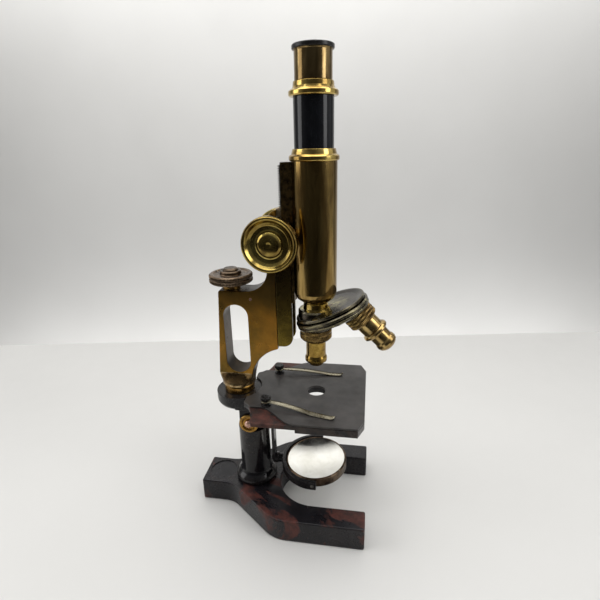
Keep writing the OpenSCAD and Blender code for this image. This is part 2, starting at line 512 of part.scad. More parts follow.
module high_objective_barrel() { color([0.74, 0.6, 0.3]) obj_high() turned([[5, 46], [7, 46], [7, 52], [8.4, 52], [8.4, 60], [9.6, 60.6], [10.3, 61.6], [10.3, 63], [9.4, 64], [7.5, 64.6], [7.3, 71], [8, 72.2], [8.2, 74.2], [7.6, 76.2], [6, 77.8], [4.4, 78.6], [2, 78.8], [2, 76], [5, 73]]); }
module high_objective_lens() { color([0.75, 0.85, 0.95, 0.5]) obj_high() turned([[0, 76.4], [2, 76.4], [2, 78.3], [0, 78.7]]); }

base();
pillar();
pivot_pin();
pivot_washers();
pivot_screws();
stage_bracket();
stage_body();
stage_plate();
stage_screws();
limb();
limb_collar();
limb_bolt();
mirror_bar();
mirror_bar_screws();
mirror_fork();
mirror_trunnions();
mirror_cell();
mirror_plane_glass();
mirror_concave_glass();
clip_post_near();
clip_blade_near();
clip_post_far();
clip_blade_far();
fine_knob();
fine_spindle();
fine_bush();
fine_lever();
fine_lever_pin();
fine_spring();
slide_block();
pinion_cover();
cover_screws();
pinion_bushes();
pinion();
coarse_knob_near();
coarse_knob_far();
tube_slide();
rack();
rack_screws();
body_tube();
tube_collar();
draw_tube();
draw_ring();
eyepiece_tube();
eyepiece_cap();
eye_lens();
field_lens();
eyepiece_stop();
nosepiece_neck();
nosepiece_dish();
nosepiece_screw();
click_spring();
nosepiece_disc();
low_objective_mount();
low_objective_barrel();
low_objective_lens();
high_objective_mount();
high_objective_barrel();
high_objective_lens();
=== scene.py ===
import math
import bpy
import bmesh
from mathutils import Matrix, Vector


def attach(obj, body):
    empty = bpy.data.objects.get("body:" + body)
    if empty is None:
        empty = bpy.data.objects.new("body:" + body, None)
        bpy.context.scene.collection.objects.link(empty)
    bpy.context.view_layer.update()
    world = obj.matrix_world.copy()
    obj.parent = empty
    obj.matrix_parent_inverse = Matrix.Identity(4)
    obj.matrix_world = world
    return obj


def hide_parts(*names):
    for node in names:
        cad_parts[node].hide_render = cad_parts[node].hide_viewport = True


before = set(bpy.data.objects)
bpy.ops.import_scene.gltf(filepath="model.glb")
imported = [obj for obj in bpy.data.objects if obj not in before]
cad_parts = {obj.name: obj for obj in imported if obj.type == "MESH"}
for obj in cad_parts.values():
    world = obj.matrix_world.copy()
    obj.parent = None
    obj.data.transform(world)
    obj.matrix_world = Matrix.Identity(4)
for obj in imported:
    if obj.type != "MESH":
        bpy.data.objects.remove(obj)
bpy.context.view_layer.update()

K = 0.001
PI = math.pi
I4 = Matrix.Identity(4)
rad = math.radians


# ------------------------------------------------------------------ meshes
def T(x, y, z):
    return Matrix.Translation((x, y, z))


def R(deg, axis):
    return Matrix.Rotation(rad(deg), 4, axis)


def fillet(pts, r=0.25, n=3, lathe=True, least=0.2):
    out, count = [], len(pts)
    for i, p in enumerate(pts):
        rr = p[2] if len(p) > 2 else r
        P, A, B = Vector(p[:2]), Vector(pts[i - 1][:2]), Vector(pts[(i + 1) % count][:2])
        u, v = A - P, B - P
        if rr <= 0 or (lathe and P.x < 1e-6) or u.length < 1e-6 or v.length < 1e-6:
            out.append(tuple(P))
            continue
        turn = PI - u.angle(v)
        if turn < least:
            out.append(tuple(P))
            continue
        d = min(rr * math.tan(turn / 2), 0.45 * u.length, 0.45 * v.length)
        p0, p1 = P + u.normalized() * d, P + v.normalized() * d
        for k in range(n + 1):
            t = k / n
            out.append(tuple(p0 * (1 - t) ** 2 + P * 2 * t * (1 - t) + p1 * t * t))
    return out


def tidy(me, merge=1e-4):
    bm = bmesh.new()
    bm.from_mesh(me)
    bmesh.ops.remove_doubles(bm, verts=bm.verts, dist=merge)
    bmesh.ops.recalc_face_normals(bm, faces=bm.faces)
    bm.to_mesh(me)
    bm.free()
    return me


def turned(prof, seg=128, r=0.25, mill=(), M=None):
    """Closed profile of (radius, height) in mm turned about Z. mill: (z0, z1, least radius, teeth, depth)."""
    pts = fillet(prof, r)
    verts, rings, faces = [], [], []
    for x, z in pts:
        if x < 1e-5:
            rings.append([len(verts)])
            verts.append((0, 0, z))
            continue
        row = []
        for k in range(seg):
            th = 2 * PI * k / seg
            rr = x
            for z0, z1, rmin, teeth, depth in mill:
                if z0 <= z <= z1 and x >= rmin:
                    rr = x - depth * (0.5 - 0.5 * math.cos(teeth * th)) ** 0.8
            row.append(len(verts))
            verts.append((rr * math.cos(th), rr * math.sin(th), z))
        rings.append(row)
    for i in range(len(rings)):
        a, b = rings[i], rings[(i + 1) % len(rings)]
        if len(a) == 1 and len(b) == 1:
            continue
        for k in range(seg):
            m = (k + 1) % seg
            if len(a) == 1:
                faces.append((a[0], b[k], b[m]))
            elif len(b) == 1:
                faces.append((a[k], b[0], a[m]))
            else:
                faces.append((a[k], b[k], b[m], a[m]))
    me = bpy.data.meshes.new("turned")
    me.from_pydata(verts, [], faces)
    tidy(me)
    if M is not None:
        me.transform(M)
    return me


def flat(loops, z0, z1, bevel=0.5, res=2, M=None):
    """Plate from closed outlines in mm with rounded edges, holes included, between z0 and z1."""
    cu = bpy.data.curves.new("flat", "CURVE")
    cu.dimensions = "2D"
    cu.fill_mode = "BOTH"
    cu.extrude = (z1 - z0) / 2 - bevel
    cu.bevel_depth = bevel
    cu.offset = -bevel
    cu.bevel_resolution = res
    for loop in loops:
        sp = cu.splines.new("POLY")
        sp.points.add(len(loop) - 1)
        for q, p in zip(sp.points, loop):
            q.co = (p[0], p[1], 0, 1)
        sp.use_cyclic_u = True
    o = bpy.data.objects.new("flat", cu)
    bpy.context.scene.collection.objects.link(o)
    dg = bpy.context.evaluated_depsgraph_get()
    me = bpy.data.meshes.new_from_object(o.evaluated_get(dg))
    bpy.data.objects.remove(o)
    bpy.data.curves.remove(cu)
    me.transform(T(0, 0, (z0 + z1) / 2))
    tidy(me, 1e-3)
    if M is not None:
        me.transform(M)
    return me


def XZ(loops, y0, y1, bevel=0.5, res=2):
    """Plate drawn in X and Z, from y0 to y1."""
    me = flat(loops, -y1, -y0, bevel, res)
    me.transform(Matrix(((1, 0, 0, 0), (0, 0, -1, 0), (0, 1, 0, 0), (0, 0, 0, 1))))
    return me


def block(a, b, bevel=0.5):
    return flat([[(a[0], a[1]), (b[0], a[1]), (b[0], b[1]), (a[0], b[1])]], a[2], b[2], bevel)


def rod(r, a, b, axis="Z", seg=96, bevel=0.2, at=(0, 0, 0)):
    me = turned([(0, a), (r, a), (r, b), (0, b)], seg, bevel)
    if axis == "Y":
        me.transform(R(-90, "X"))
    if axis == "X":
        me.transform(R(90, "Y"))
    me.transform(T(*at))
    return me


def boolean(a, others, op="DIFFERENCE"):
    o = bpy.data.objects.new("a", a)
    bpy.context.scene.collection.objects.link(o)
    tmp = []
    for m in others:
        c = bpy.data.objects.new("c", m)
        bpy.context.scene.collection.objects.link(c)
        tmp.append(c)
        mod = o.modifiers.new("b", "BOOLEAN")
        mod.operation, mod.object, mod.solver = op, c, "EXACT"
    dg = bpy.context.evaluated_depsgraph_get()
    me = bpy.data.meshes.new_from_object(o.evaluated_get(dg))
    for x in [o] + tmp:
        bpy.data.objects.remove(x)
    me.materials.clear()
    return tidy(me, 5e-4)


def joined(*meshes):
    bm = bmesh.new()
    for m in meshes:
        bm.from_mesh(m)
    me = bpy.data.meshes.new("joined")
    bm.to_mesh(me)
    bm.free()
    return me


def put(name, me, material, body, slot, *nodes, angle=36):
    me.transform(Matrix.Scale(K, 4))
    me.name = name
    o = bpy.data.objects.new(name, me)
    bpy.context.scene.collection.objects.link(o)
    me.materials.clear()
    me.materials.append(material)
    for p in me.polygons:
        p.use_smooth = True
        p.material_index = 0
    me.set_sharp_from_angle(angle=rad(angle))
    w = o.modifiers.new("normals", "WEIGHTED_NORMAL")
    w.keep_sharp = True
    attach(o, body)
    if nodes:
        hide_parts(*nodes)
    return o


def arc(cx, cy, r, a0, a1, n=24):
    return [(cx + r * math.cos(rad(a0 + (a1 - a0) * i / n)), cy + r * math.sin(rad(a0 + (a1 - a0) * i / n))) for i in range(n + 1)]


def circle(cx, cy, r, n=72):
    return arc(cx, cy, r, 0, 360 * (n - 1) / n, n - 1)


def bar(path, width, thick, n=8):
    """Flat strip in mm along (x, z) points; width is a function of the fraction along it."""
    verts, faces = [], []
    m = len(path)
    for i, (x, z) in enumerate(path):
        a = Vector(path[max(i - 1, 0)])
        b = Vector(path[min(i + 1, m - 1)])
        t = (b - a).normalized()
        nx, nz = -t.y, t.x
        w = width(i / (m - 1)) / 2
        h = thick / 2
        sect = []
        for k in range(n):
            # rounded rectangle section
            for c in ((1, 1), (-1, 1), (-1, -1), (1, -1))[k // 2:k // 2 + 1]:
                e = min(0.3, h * 0.7)
                sect.append((c[0] * (w - (e if (k % 2 == 0) == (c[0] * c[1] > 0) else 0)), c[1] * (h - (0 if (k % 2 == 0) == (c[0] * c[1] > 0) else e))))
        for y, q in sect:
            crown = -0.10 * (y / max(w, 0.01)) ** 2 * min(w / 2, 1)
            verts.append((x + nx * (q + crown), y, z + nz * (q + crown)))
    for i in range(m - 1):
        for k in range(n):
            a, b = i * n + k, i * n + (k + 1) % n
            faces.append((a, b, b + n, a + n))
    faces.append(tuple(range(n)))
    faces.append(tuple(range((m - 1) * n, m * n)))
    me = bpy.data.meshes.new("bar")
    me.from_pydata(verts, [], faces)
    return tidy(me)


# --------------------------------------------------------------- materials
def lin(c):
    """sRGB 0-255 to linear."""
    out = []
    for v in c:
        v /= 255
        out.append(v / 12.92 if v <= 0.04045 else ((v + 0.055) / 1.055) ** 2.4)
    return (*out, 1)


class Mat:
    def __init__(self, name, **sockets):
        self.m = bpy.data.materials.new(name)
        self.m.use_nodes = True
        self.t = self.m.node_tree
        self.t.nodes.clear()
        self.out = self.t.nodes.new("ShaderNodeOutputMaterial")
        self.b = self.t.nodes.new("ShaderNodeBsdfPrincipled")
        self.t.links.new(self.b.outputs[0], self.out.inputs[0])
        self.co = self.t.nodes.new("ShaderNodeTexCoord").outputs["Object"]
        for k, v in sockets.items():
            self.b.inputs[k.replace("_", " ")].default_value = v

    def link(self, a, b):
        self.t.links.new(a, b)

    def set(self, socket, value):
        if hasattr(value, "is_output"):
            self.link(value, self.b.inputs[socket])
        else:
            self.b.inputs[socket].default_value = value

    def noise(self, scale, detail=4, rough=0.6, stretch=(1, 1, 1), shift=0.0, distort=0.0):
        mp = self.t.nodes.new("ShaderNodeMapping")
        mp.inputs["Scale"].default_value = stretch
        mp.inputs["Location"].default_value = (shift, shift * 0.7, shift * 1.3)
        self.link(self.co, mp.inputs["Vector"])
        n = self.t.nodes.new("ShaderNodeTexNoise")
        n.inputs["Scale"].default_value = scale
        n.inputs["Detail"].default_value = detail
        n.inputs["Roughness"].default_value = rough
        n.inputs["Distortion"].default_value = distort
        self.link(mp.outputs[0], n.inputs["Vector"])
        return n.outputs["Fac"]

    def cells(self, scale, stretch=(1, 1, 1), feature="F1"):
        mp = self.t.nodes.new("ShaderNodeMapping")
        mp.inputs["Scale"].default_value = stretch
        self.link(self.co, mp.inputs["Vector"])
        n = self.t.nodes.new("ShaderNodeTexVoronoi")
        n.feature = feature
        n.inputs["Scale"].default_value = scale
        self.link(mp.outputs[0], n.inputs["Vector"])
        return n.outputs["Distance"]

    def ramp(self, fac, *stops):
        n = self.t.nodes.new("ShaderNodeValToRGB")
        e = n.color_ramp.elements
        while len(e) > len(stops):
            e.remove(e[-1])
        while len(e) < len(stops):
            e.new(1.0)
        for q, (pos, col) in zip(e, stops):
            q.position = pos
            q.color = col if isinstance(col, tuple) else (col, col, col, 1)
        self.link(fac, n.inputs[0])
        return n.outputs[0]

    def mix(self, fac, a, b, kind="MIX"):
        n = self.t.nodes.new("ShaderNodeMix")
        n.data_type = "RGBA"
        n.blend_type = kind
        for s, v in ((n.inputs[0], fac), (n.inputs[6], a), (n.inputs[7], b)):
            if hasattr(v, "is_output"):
                self.link(v, s)
            else:
                s.default_value = v
        return n.outputs[2]

    def math(self, op, a, b=0.5, clamp=True):
        n = self.t.nodes.new("ShaderNodeMath")
        n.operation = op
        n.use_clamp = clamp
        for s, v in ((n.inputs[0], a), (n.inputs[1], b)):
            if hasattr(v, "is_output"):
                self.link(v, s)
            else:
                s.default_value = v
        return n.outputs[0]

    def span(self, fac, lo, hi, a=0.3, b=0.7):
        n = self.t.nodes.new("ShaderNodeMapRange")
        self.link(fac, n.inputs[0])
        for k, v in enumerate((a, b, lo, hi)):
            n.inputs[k + 1].default_value = v
        return n.outputs[0]

    def edge(self, lo=0.505, hi=0.56):
        g = self.t.nodes.new("ShaderNodeNewGeometry")
        return self.span(g.outputs["Pointiness"], 0, 1, lo, hi)

    def bump(self, *layers):
        """layers of (height, strength, distance in mm)."""
        last = None
        for h, strength, dist in layers:
            n = self.t.nodes.new("ShaderNodeBump")
            n.inputs["Strength"].default_value = strength
            n.inputs["Distance"].default_value = dist * K
            self.link(h, n.inputs["Height"])
            if last is not None:
                self.link(last, n.inputs["Normal"])
            last = n.outputs[0]
        self.link(last, self.b.inputs["Normal"])


def brass(name, light, mid, dark, stain, rough=(0.12, 0.32), patch=55, stain_at=(0.56, 0.70), streak=(1, 1, 1), fine=0.25, seed=0.0, scratch=(8, 8, 1), pits=0.5, edge_col=None, wave=0.02, rim_shade=None, shade_ramp=None):
    m = Mat(name, Metallic=1.0)
    big = m.noise(patch, 5, 0.62, streak, seed, 0.4)
    col = m.ramp(big, (0.30, lin(dark)), (0.47, lin(mid)), (0.62, lin(light)), (0.80, lin(mid)))
    st = m.ramp(m.noise(patch * 1.9, 6, 0.7, streak, seed + 3.1, 0.8), (stain_at[0], 0.0), (stain_at[1], 1.0))
    col = m.mix(m.math("MULTIPLY", st, 0.8), col, lin(stain))
    speck = m.ramp(m.noise(950, 3, 0.7, (1, 1, 1), seed + 9), (0.62, 0.0), (0.74, 1.0))
    col = m.mix(m.math("MULTIPLY", speck, pits), col, lin(tuple(v * 0.45 for v in dark)))
    if edge_col:
        wear = m.math("MULTIPLY", m.edge(), m.span(m.noise(260, 3, 0.6, (1, 1, 1), seed + 5), 0.1, 1.0, 0.35, 0.6))
        col = m.mix(wear, col, lin(edge_col))
    if rim_shade or shade_ramp:
        sp = m.t.nodes.new("ShaderNodeSeparateXYZ")
        m.link(m.co, sp.inputs[0])
    if shade_ramp:
        # (axis, from, to, colour, amount): painted shade, darkening the colour towards the top of the part
        col = m.mix(m.span(sp.outputs[shade_ramp[0]], 0, shade_ramp[4], shade_ramp[1] * K, shade_ramp[2] * K), col, lin(shade_ramp[3]))
    if rim_shade:
        # (axis, inner, outer, colour): everything nearer the middle plane than inner is darkened; this is painted shade
        # and dark reflection on the faces turned away from the flat sides, with the window walls also taken as black
        # paint
        col = m.mix(m.span(m.math("ABSOLUTE", sp.outputs[rim_shade[0]], 0.5, False), 0.9, 0, rim_shade[1] * K, rim_shade[2] * K), col, lin(rim_shade[3]))
    m.set("Base Color", col)
    lines = m.noise(420, 5, 0.75, scratch, seed + 1.7)
    r = m.span(m.noise(patch * 2.6, 5, 0.65, streak, seed + 6.6), rough[0], rough[1], 0.3, 0.72)
    r = m.math("ADD", r, m.math("MULTIPLY", st, 0.14))
    r = m.math("ADD", r, m.math("MULTIPLY", m.span(lines, 0, 1, 0.5, 0.8), 0.10))
    m.set("Roughness", r)
    m.bump((m.noise(34, 2, 0.5, (1, 1, 1), seed + 2), wave, 2.0), (lines, fine, 0.03), (speck, pits * 0.5, 0.04))
    return m.m


def japan(name, black, brown, bare, gloss=(0.16, 0.4), worn=(0.55, 0.68), patch=38, edge=0.8, seed=0.0, cast=0.25, dust=None, edge_span=(0.505, 0.56), zone=None):
    m = Mat(name, Specular_IOR_Level=0.3)
    n1 = m.noise(patch, 7, 0.68, (1, 1, 1), seed, 0.9)
    blk = m.ramp(m.noise(patch * 3, 4, 0.6, (1, 1, 1), seed + 4), (0.3, lin(black)), (0.75, lin(tuple(min(255, v * 1.45 + 4) for v in black))))
    if zone:
        # (axis, from, to, shift from, shift to): wear gathers at one end
        sp = m.t.nodes.new("ShaderNodeSeparateXYZ")
        m.link(m.co, sp.inputs[0])
        n1 = m.math("ADD", n1, m.span(sp.outputs[zone[0]], zone[3], zone[4], zone[1] * K, zone[2] * K), False)
    rub = m.ramp(n1, (worn[0], 0.0), (worn[1], 1.0))
    tint = m.ramp(m.noise(patch * 5, 5, 0.7, (1, 1, 1), seed + 8), (0.35, lin(tuple(v * 0.55 for v in brown))), (0.62, lin(brown)))
    col = m.mix(rub, blk, tint)
    e = m.math("MULTIPLY", m.edge(*edge_span), m.span(m.noise(130, 4, 0.65, (1, 1, 1), seed + 2.2), 0.0, 1.0, 0.38, 0.6))
    e = m.math("MULTIPLY", e, edge)
    col = m.mix(e, col, lin(bare))
    if dust:
        d = m.ramp(m.noise(170, 6, 0.75, (1, 1, 1), seed + 12, 0.5), (0.54, 0.0), (0.72, 1.0))
        col = m.mix(m.math("MULTIPLY", d, dust[1]), col, lin(dust[0]))
    m.set("Base Color", col)
    m.set("Metallic", m.math("MULTIPLY", e, 0.8))
    r = m.span(m.noise(patch * 2, 5, 0.7, (1, 1, 1), seed + 6), gloss[0], gloss[1], 0.3, 0.7)
    r = m.math("ADD", r, m.math("MULTIPLY", rub, 0.26))
    r = m.math("ADD", r, m.math("MULTIPLY", m.span(m.noise(600, 4, 0.8, (6, 6, 1), seed), 0, 1, 0.52, 0.8), 0.15))
    m.set("Roughness", r)
    m.bump((m.noise(26, 3, 0.5, (1, 1, 1), seed + 3), cast * 0.3, 2.0), (m.noise(240, 5, 0.7, (1, 1, 1), seed + 1), cast, 0.12), (rub, 0.25, -0.06), (m.noise(1100, 3, 0.6), cast * 0.4, 0.03))
    return m.m


# the arm's near-black rim colour is painted shade and dark reflection on its edges, window walls and front face (window
# walls also taken as black paint); its darkening towards the top is painted shade
ARM = brass("arm_brass", (176, 124, 50), (138, 104, 46), (96, 80, 40), (70, 58, 32), (0.24, 0.38), 20, (0.54, 0.74), seed=1.3, fine=0.1, pits=0.12, rim_shade=(1, 8.0, 8.45, (26, 25, 26)), shade_ramp=(2, 176, 202, (60, 49, 32), 0.75))
ARMFOOT = brass("arm_foot_brass", (150, 122, 82), (112, 90, 60), (70, 56, 40), (52, 42, 32), (0.2, 0.36), 30, (0.54, 0.72), seed=1.9, fine=0.1, pits=0.2, edge_col=(208, 184, 140))
COLLAR = brass("collar_brass", (168, 128, 62), (130, 96, 46), (90, 66, 34), (56, 46, 28), (0.18, 0.36), 46, (0.52, 0.68), seed=2.3, pits=0.3, edge_col=(206, 172, 104))
# the slide block's darkening towards the top is painted shade
OLIVE = brass("olive_brass", (122, 104, 44), (92, 78, 36), (62, 54, 28), (42, 37, 22), (0.2, 0.34), 20, (0.52, 0.72), seed=4.1, fine=0.1, pits=0.1, shade_ramp=(2, 160, 205, (52, 40, 28), 0.75))
COVER = brass("cover_brass", (176, 136, 60), (136, 104, 46), (96, 72, 34), (66, 52, 28), (0.2, 0.38), 28, (0.52, 0.70), seed=5.2, fine=0.12, pits=0.25, edge_col=(206, 172, 104))
KNOB = brass("knob_brass", (190, 172, 100), (150, 128, 68), (92, 70, 36), (56, 42, 26), (0.10, 0.22), 30, (0.54, 0.70), seed=6.4, fine=0.1, scratch=(1, 1, 1), pits=0.25)
TUBE = brass("tube_brass", (164, 138, 84), (122, 98, 56), (80, 61, 38), (50, 37, 26), (0.07, 0.18), 26, (0.56, 0.72), streak=(3.4, 3.4, 0.5), seed=7.7, fine=0.25, scratch=(12, 12, 0.6), pits=0.35, wave=0.05)
RING = brass("ring_brass", (206, 180, 106), (166, 138, 76), (112, 88, 48), (70, 56, 34), (0.08, 0.2), 60, (0.58, 0.74), seed=8.9, fine=0.12, pits=0.3)
EYE = brass("eyepiece_brass", (158, 136, 94), (114, 94, 60), (74, 59, 40), (46, 37, 28), (0.07, 0.17), 40, (0.60, 0.76), streak=(2.5, 2.5, 0.7), seed=9.5, fine=0.25, scratch=(10, 10, 0.6), pits=0.3)
OBJ = brass("objective_brass", (186, 156, 80), (146, 118, 58), (94, 74, 40), (58, 46, 28), (0.10, 0.22), 70, (0.56, 0.72), seed=10.3, fine=0.15, pits=0.35)
OBJRING = brass("objective_ring", (160, 136, 82), (118, 96, 58), (74, 59, 38), (46, 37, 27), (0.18, 0.32), 90, (0.52, 0.68), seed=11.3, pits=0.5)
HIGH = brass("high_objective_brass", (200, 174, 116), (160, 134, 84), (108, 87, 54), (68, 55, 36), (0.10, 0.25), 70, (0.56, 0.72), seed=10.9, fine=0.15, pits=0.35)
BRONZE = brass("dark_bronze", (116, 98, 80), (82, 69, 56), (52, 44, 37), (36, 31, 27), (0.22, 0.40), 60, (0.5, 0.66), seed=12.1, pits=0.3, edge_col=(172, 150, 124))
CELL = brass("cell_bronze", (88, 68, 54), (60, 46, 38), (38, 30, 26), (26, 22, 20), (0.26, 0.46), 60, (0.5, 0.66), seed=13.1, edge_col=(176, 156, 128))
NOSE = brass("nose_metal", (88, 82, 72), (62, 58, 53), (42, 40, 39), (32, 30, 30), (0.16, 0.28), 30, (0.56, 0.74), seed=14.1, fine=0.05, scratch=(1, 1, 1), edge_col=(190, 180, 132), pits=0.12)
NICKEL = brass("clip_nickel", (176, 170, 150), (150, 143, 122), (122, 114, 96), (100, 91, 75), (0.22, 0.34), 30, (0.60, 0.80), seed=15.1, fine=0.05, scratch=(1, 4, 1), pits=0.1, wave=0.0)
PINK = brass("joint_screw", (214, 176, 160), (186, 146, 128), (138, 100, 84), (96, 66, 54), (0.2, 0.36), 200, (0.6, 0.76), seed=16.1)
STEEL = brass("blued_steel", (96, 94, 92), (70, 68, 66), (44, 42, 42), (52, 40, 34), (0.24, 0.44), 120, (0.54, 0.7), seed=17.1, edge_col=(150, 146, 138))
DOVE = brass("slide_dark", (58, 45, 31), (40, 31, 24), (25, 20, 18), (18, 15, 14), (0.2, 0.36), 28, (0.54, 0.72), seed=18.1, fine=0.1, pits=0.08, edge_col=(120, 98, 62))
BASE = japan("base_japan", (17, 16, 19), (88, 47, 40), (128, 106, 94), (0.18, 0.36), (0.605, 0.65), 24, 0.08, 0.4, 0.3, ((74, 72, 74), 0.14), zone=(1, 20, -30, -0.03, 0.085))
PILLAR = japan("pillar_black", (13, 12, 14), (44, 30, 26), (120, 108, 98), (0.07, 0.2), (0.66, 0.8), 40, 0.4, 2.6, 0.12, ((70, 68, 70), 0.12))
CASTING = japan("casting_black", (14, 13, 15), (44, 33, 29), (108, 98, 88), (0.16, 0.34), (0.66, 0.78), 34, 0.12, 3.6, 0.2, ((66, 64, 65), 0.10))
PLATE = japan("stage_black", (44, 42, 41), (60, 54, 48), (124, 114, 100), (0.28, 0.46), (0.62, 0.80), 26, 0.08, 5.5, 0.12, ((90, 86, 80), 0.16))
STAGEM = japan("stage_metal", (18, 16, 16), (84, 47, 40), (142, 120, 104), (0.22, 0.40), (0.58, 0.68), 30, 0.12, 6.5, 0.25, ((74, 70, 67), 0.10), zone=(0, 46, 34, -0.1, 0.14))
LACQ = japan("draw_tube_black", (10, 11, 14), (16, 16, 18), (80, 82, 88), (0.05, 0.11), (0.70, 0.86), 40, 0.1, 7.5, 0.04)
EBON = japan("ebonite", (14, 13, 13), (40, 32, 28), (90, 84, 78), (0.18, 0.36), (0.62, 0.8), 80, 0.3, 8.5, 0.2)
INSIDE = japan("inside_black", (10, 9, 9), (26, 20, 17), (60, 52, 44), (0.5, 0.8), (0.6, 0.8), 60, 0.2, 9.5, 0.2)


def glass_mirror():
    m = Mat("mirror_glass", Metallic=1.0)
    n = m.noise(60, 6, 0.7, (1, 1, 1), 2.0, 0.6)
    spots = m.ramp(m.noise(420, 4, 0.7, (1, 1, 1), 5.0), (0.66, 0.0), (0.76, 1.0))
    col = m.ramp(n, (0.3, lin((214, 212, 204))), (0.7, lin((238, 238, 234))))
    col = m.mix(m.math("MULTIPLY", spots, 0.7), col, lin((120, 112, 98)))
    m.set("Base Color", col)
    m.set("Roughness", m.span(m.noise(90, 5, 0.7, (1, 1, 1), 8.0), 0.03, 0.16, 0.35, 0.75))
    m.bump((m.noise(300, 3, 0.6), 0.04, 0.02), (spots, 0.1, -0.02))
    return m.m


def glass_lens():
    m = Mat("lens_glass", IOR=1.52)
    m.b.inputs["Transmission Weight"].default_value = 1.0
    n = m.noise(200, 4, 0.6)
    m.set("Base Color", m.ramp(n, (0.3, lin((214, 226, 232))), (0.7, lin((232, 242, 246)))))
    m.set("Roughness", m.span(n, 0.01, 0.06))
    m.bump((m.noise(500, 3, 0.6), 0.03, 0.02))
    return m.m


MIRROR = glass_mirror()
LENS = glass_lens()

# ------------------------------------------------------------ foot and pillar
half = [(-25.9, 15.2)] + arc(-25.9, 37.2, 22, -89, -51.5, 14) + arc(33.8, 20.8, 28, 128.5, 90, 16)
outer = [(-45.5, -15.2), (-45.5, 15.2)] + half + [(94.7, 48.8), (94.7, 30.3)] + arc(52, 0, 30.3, 90, 270, 64) + [(94.7, -30.3), (94.7, -48.8)] + [(x, -y) for x, y in reversed(half)]
outer = fillet(outer, 1.6, 4, False, 0.7)
foot = flat([outer], 0, 19.8, 1.3, 3)
foot = boolean(foot, [rod(11.8, 19.0, 22, at=(-30.5, 0, 0), bevel=0.3), rod(6.2, 8, 24)])
put("foot_casting", foot, BASE, "foot", "japanned_iron", "base")
col = turned([(0, 8.4), (6, 8.4), (6, 19.8), (16, 19.8), (17.2, 21.2, 1.0), (17.4, 23, 1.5), (17, 25, 1.5), (15.6, 26.8, 2), (13.9, 28.4, 2), (13, 30.6, 2), (12.8, 33, 2), (12.8, 72, 0.7), (0, 72)], 144, 0.3)
put("pillar_column", col, PILLAR, "foot", "black_lacquer", "pillar")
tongue = XZ([[(-10.4, 70.5), (10.4, 70.5)] + arc(0, 80.7, 10.4, 0, 180, 40), circle(0, 80.7, 3.56, 48)], -6.6, 6.6, 0.6)
put("pillar_tongue", tongue, PILLAR, "foot", "black_lacquer", "pillar")

# --------------------------------------------------------- inclination joint
for s, tag in ((-1, "near"), (1, "far")):
    M = T(0, 0, 80.7) @ (R(90, "X") if s < 0 else R(-90, "X"))
    ring = turned([(1.95, 13), (8, 13), (8, 14.8), (7.4, 15.4), (6.0, 15.4), (5.3, 14.9), (5.0, 14.2), (1.95, 14.2)], 96, 0.25, M=M)
    put("joint_washer_" + tag, ring, COLLAR, "stand", "bright_brass", *(["pivot_washers"] if s < 0 else []))
    head = turned([(0, 14.2), (3.4, 14.2), (3.4, 15.1), (3.1, 15.9, 0.6), (2.2, 16.7, 0.8), (0, 17.1)], 64, 0.3)
    head = boolean(head, [block((-4, -0.4, 16.3), (4, 0.4, 18), 0.1)])
    head.transform(M @ R(35, "Z"))
    put("joint_screw_" + tag, head, PINK, "stand", "copper_screw", *(["pivot_screws"] if s < 0 else []))

# ------------------------------------------------------------ stage bracket
boss = turned([(0, 94), (12.6, 94), (16.4, 94.9, 2), (18.0, 97.4, 2.5), (18.2, 100, 2), (18.2, 105.2, 0.5), (0, 105.2)], 128, 0.5, M=T(-10.2, 0, 0))
neck = XZ([fillet([(-9.8, 94), (14, 94), (14, 90), (22, 90), (22, 92), (36, 92), (36, 101.75), (-9.8, 101.75)], 1.2, 4, False)], -13, 13, 0.7)
shoulder = block((-9.8, -17, 94), (12, 17, 101.75), 0.9)
cheeks = [XZ([[(-8, 94.4)] + arc(0, 80.7, 8, 180, 360, 36) + [(8, 94.4)]], a, b, 0.5) for a, b in ((-13, -7), (7, 13))]
brk = boolean(boss, [neck, shoulder] + cheeks, "UNION")
brk = boolean(brk, [rod(10.9, -7, 7, "Y", bevel=0.1, at=(0, 0, 80.7)), rod(3.5, -20, 20, "Y", bevel=0.05, at=(0, 0, 80.7)), rod(6.7, 90, 98, bevel=0.1, at=(-9.8, 0, 0)), rod(3.6, 90, 110, bevel=0.05, at=(-9.8, 0, 0)), block((15.4, -4.1, 85), (19.4, 4.1, 100.2), 0.05)]
              + [rod(1.6, 94.8, 115, bevel=0.02, at=p) for p in ((12, 0, 0), (29, 9, 0), (29, -9, 0))] + [rod(1.3, 14, 22, "X", bevel=0.02, at=(0, 0, z)) for z in (92.5, 97.5)])
put("stage_bracket_casting", brk, CASTING, "stand", "black_lacquer", "stage_bracket")

# -------------------------------------------------------------------- stage
rear = [(0, 18.3), (0, 22.8), (1.3, 23.7), (3.6, 25.4), (5.4, 27.8), (7.2, 31.4), (8.5, 35.5), (9.5, 40), (10.3, 44.3), (11, 45.8), (12.1, 46.5)]
notch = arc(-10.2, 0, 18.25, 55.9, -55.9, 36)
front = [(87.4, 46.5), (91.8, 35.9), (91.8, -35.9), (87.4, -46.5)]
body_out = rear + front + [(x, -y) for x, y in reversed(rear)] + list(reversed(notch))
holes = [circle(18, s * 25, 1.85, 24) for s in (-1, 1)]
slab = flat([body_out, circle(53.2, 0, 9.3, 72)] + holes, 101.8, 105.2, 0.45)
low = flat([[(43.4, -46.5), (87.4, -46.5), (91.8, -35.9), (91.8, 35.9), (87.4, 46.5), (43.4, 46.5)], circle(53.2, 0, 9.3, 72)], 99.3, 102.6, 0.45)
stage = boolean(slab, [low], "UNION")
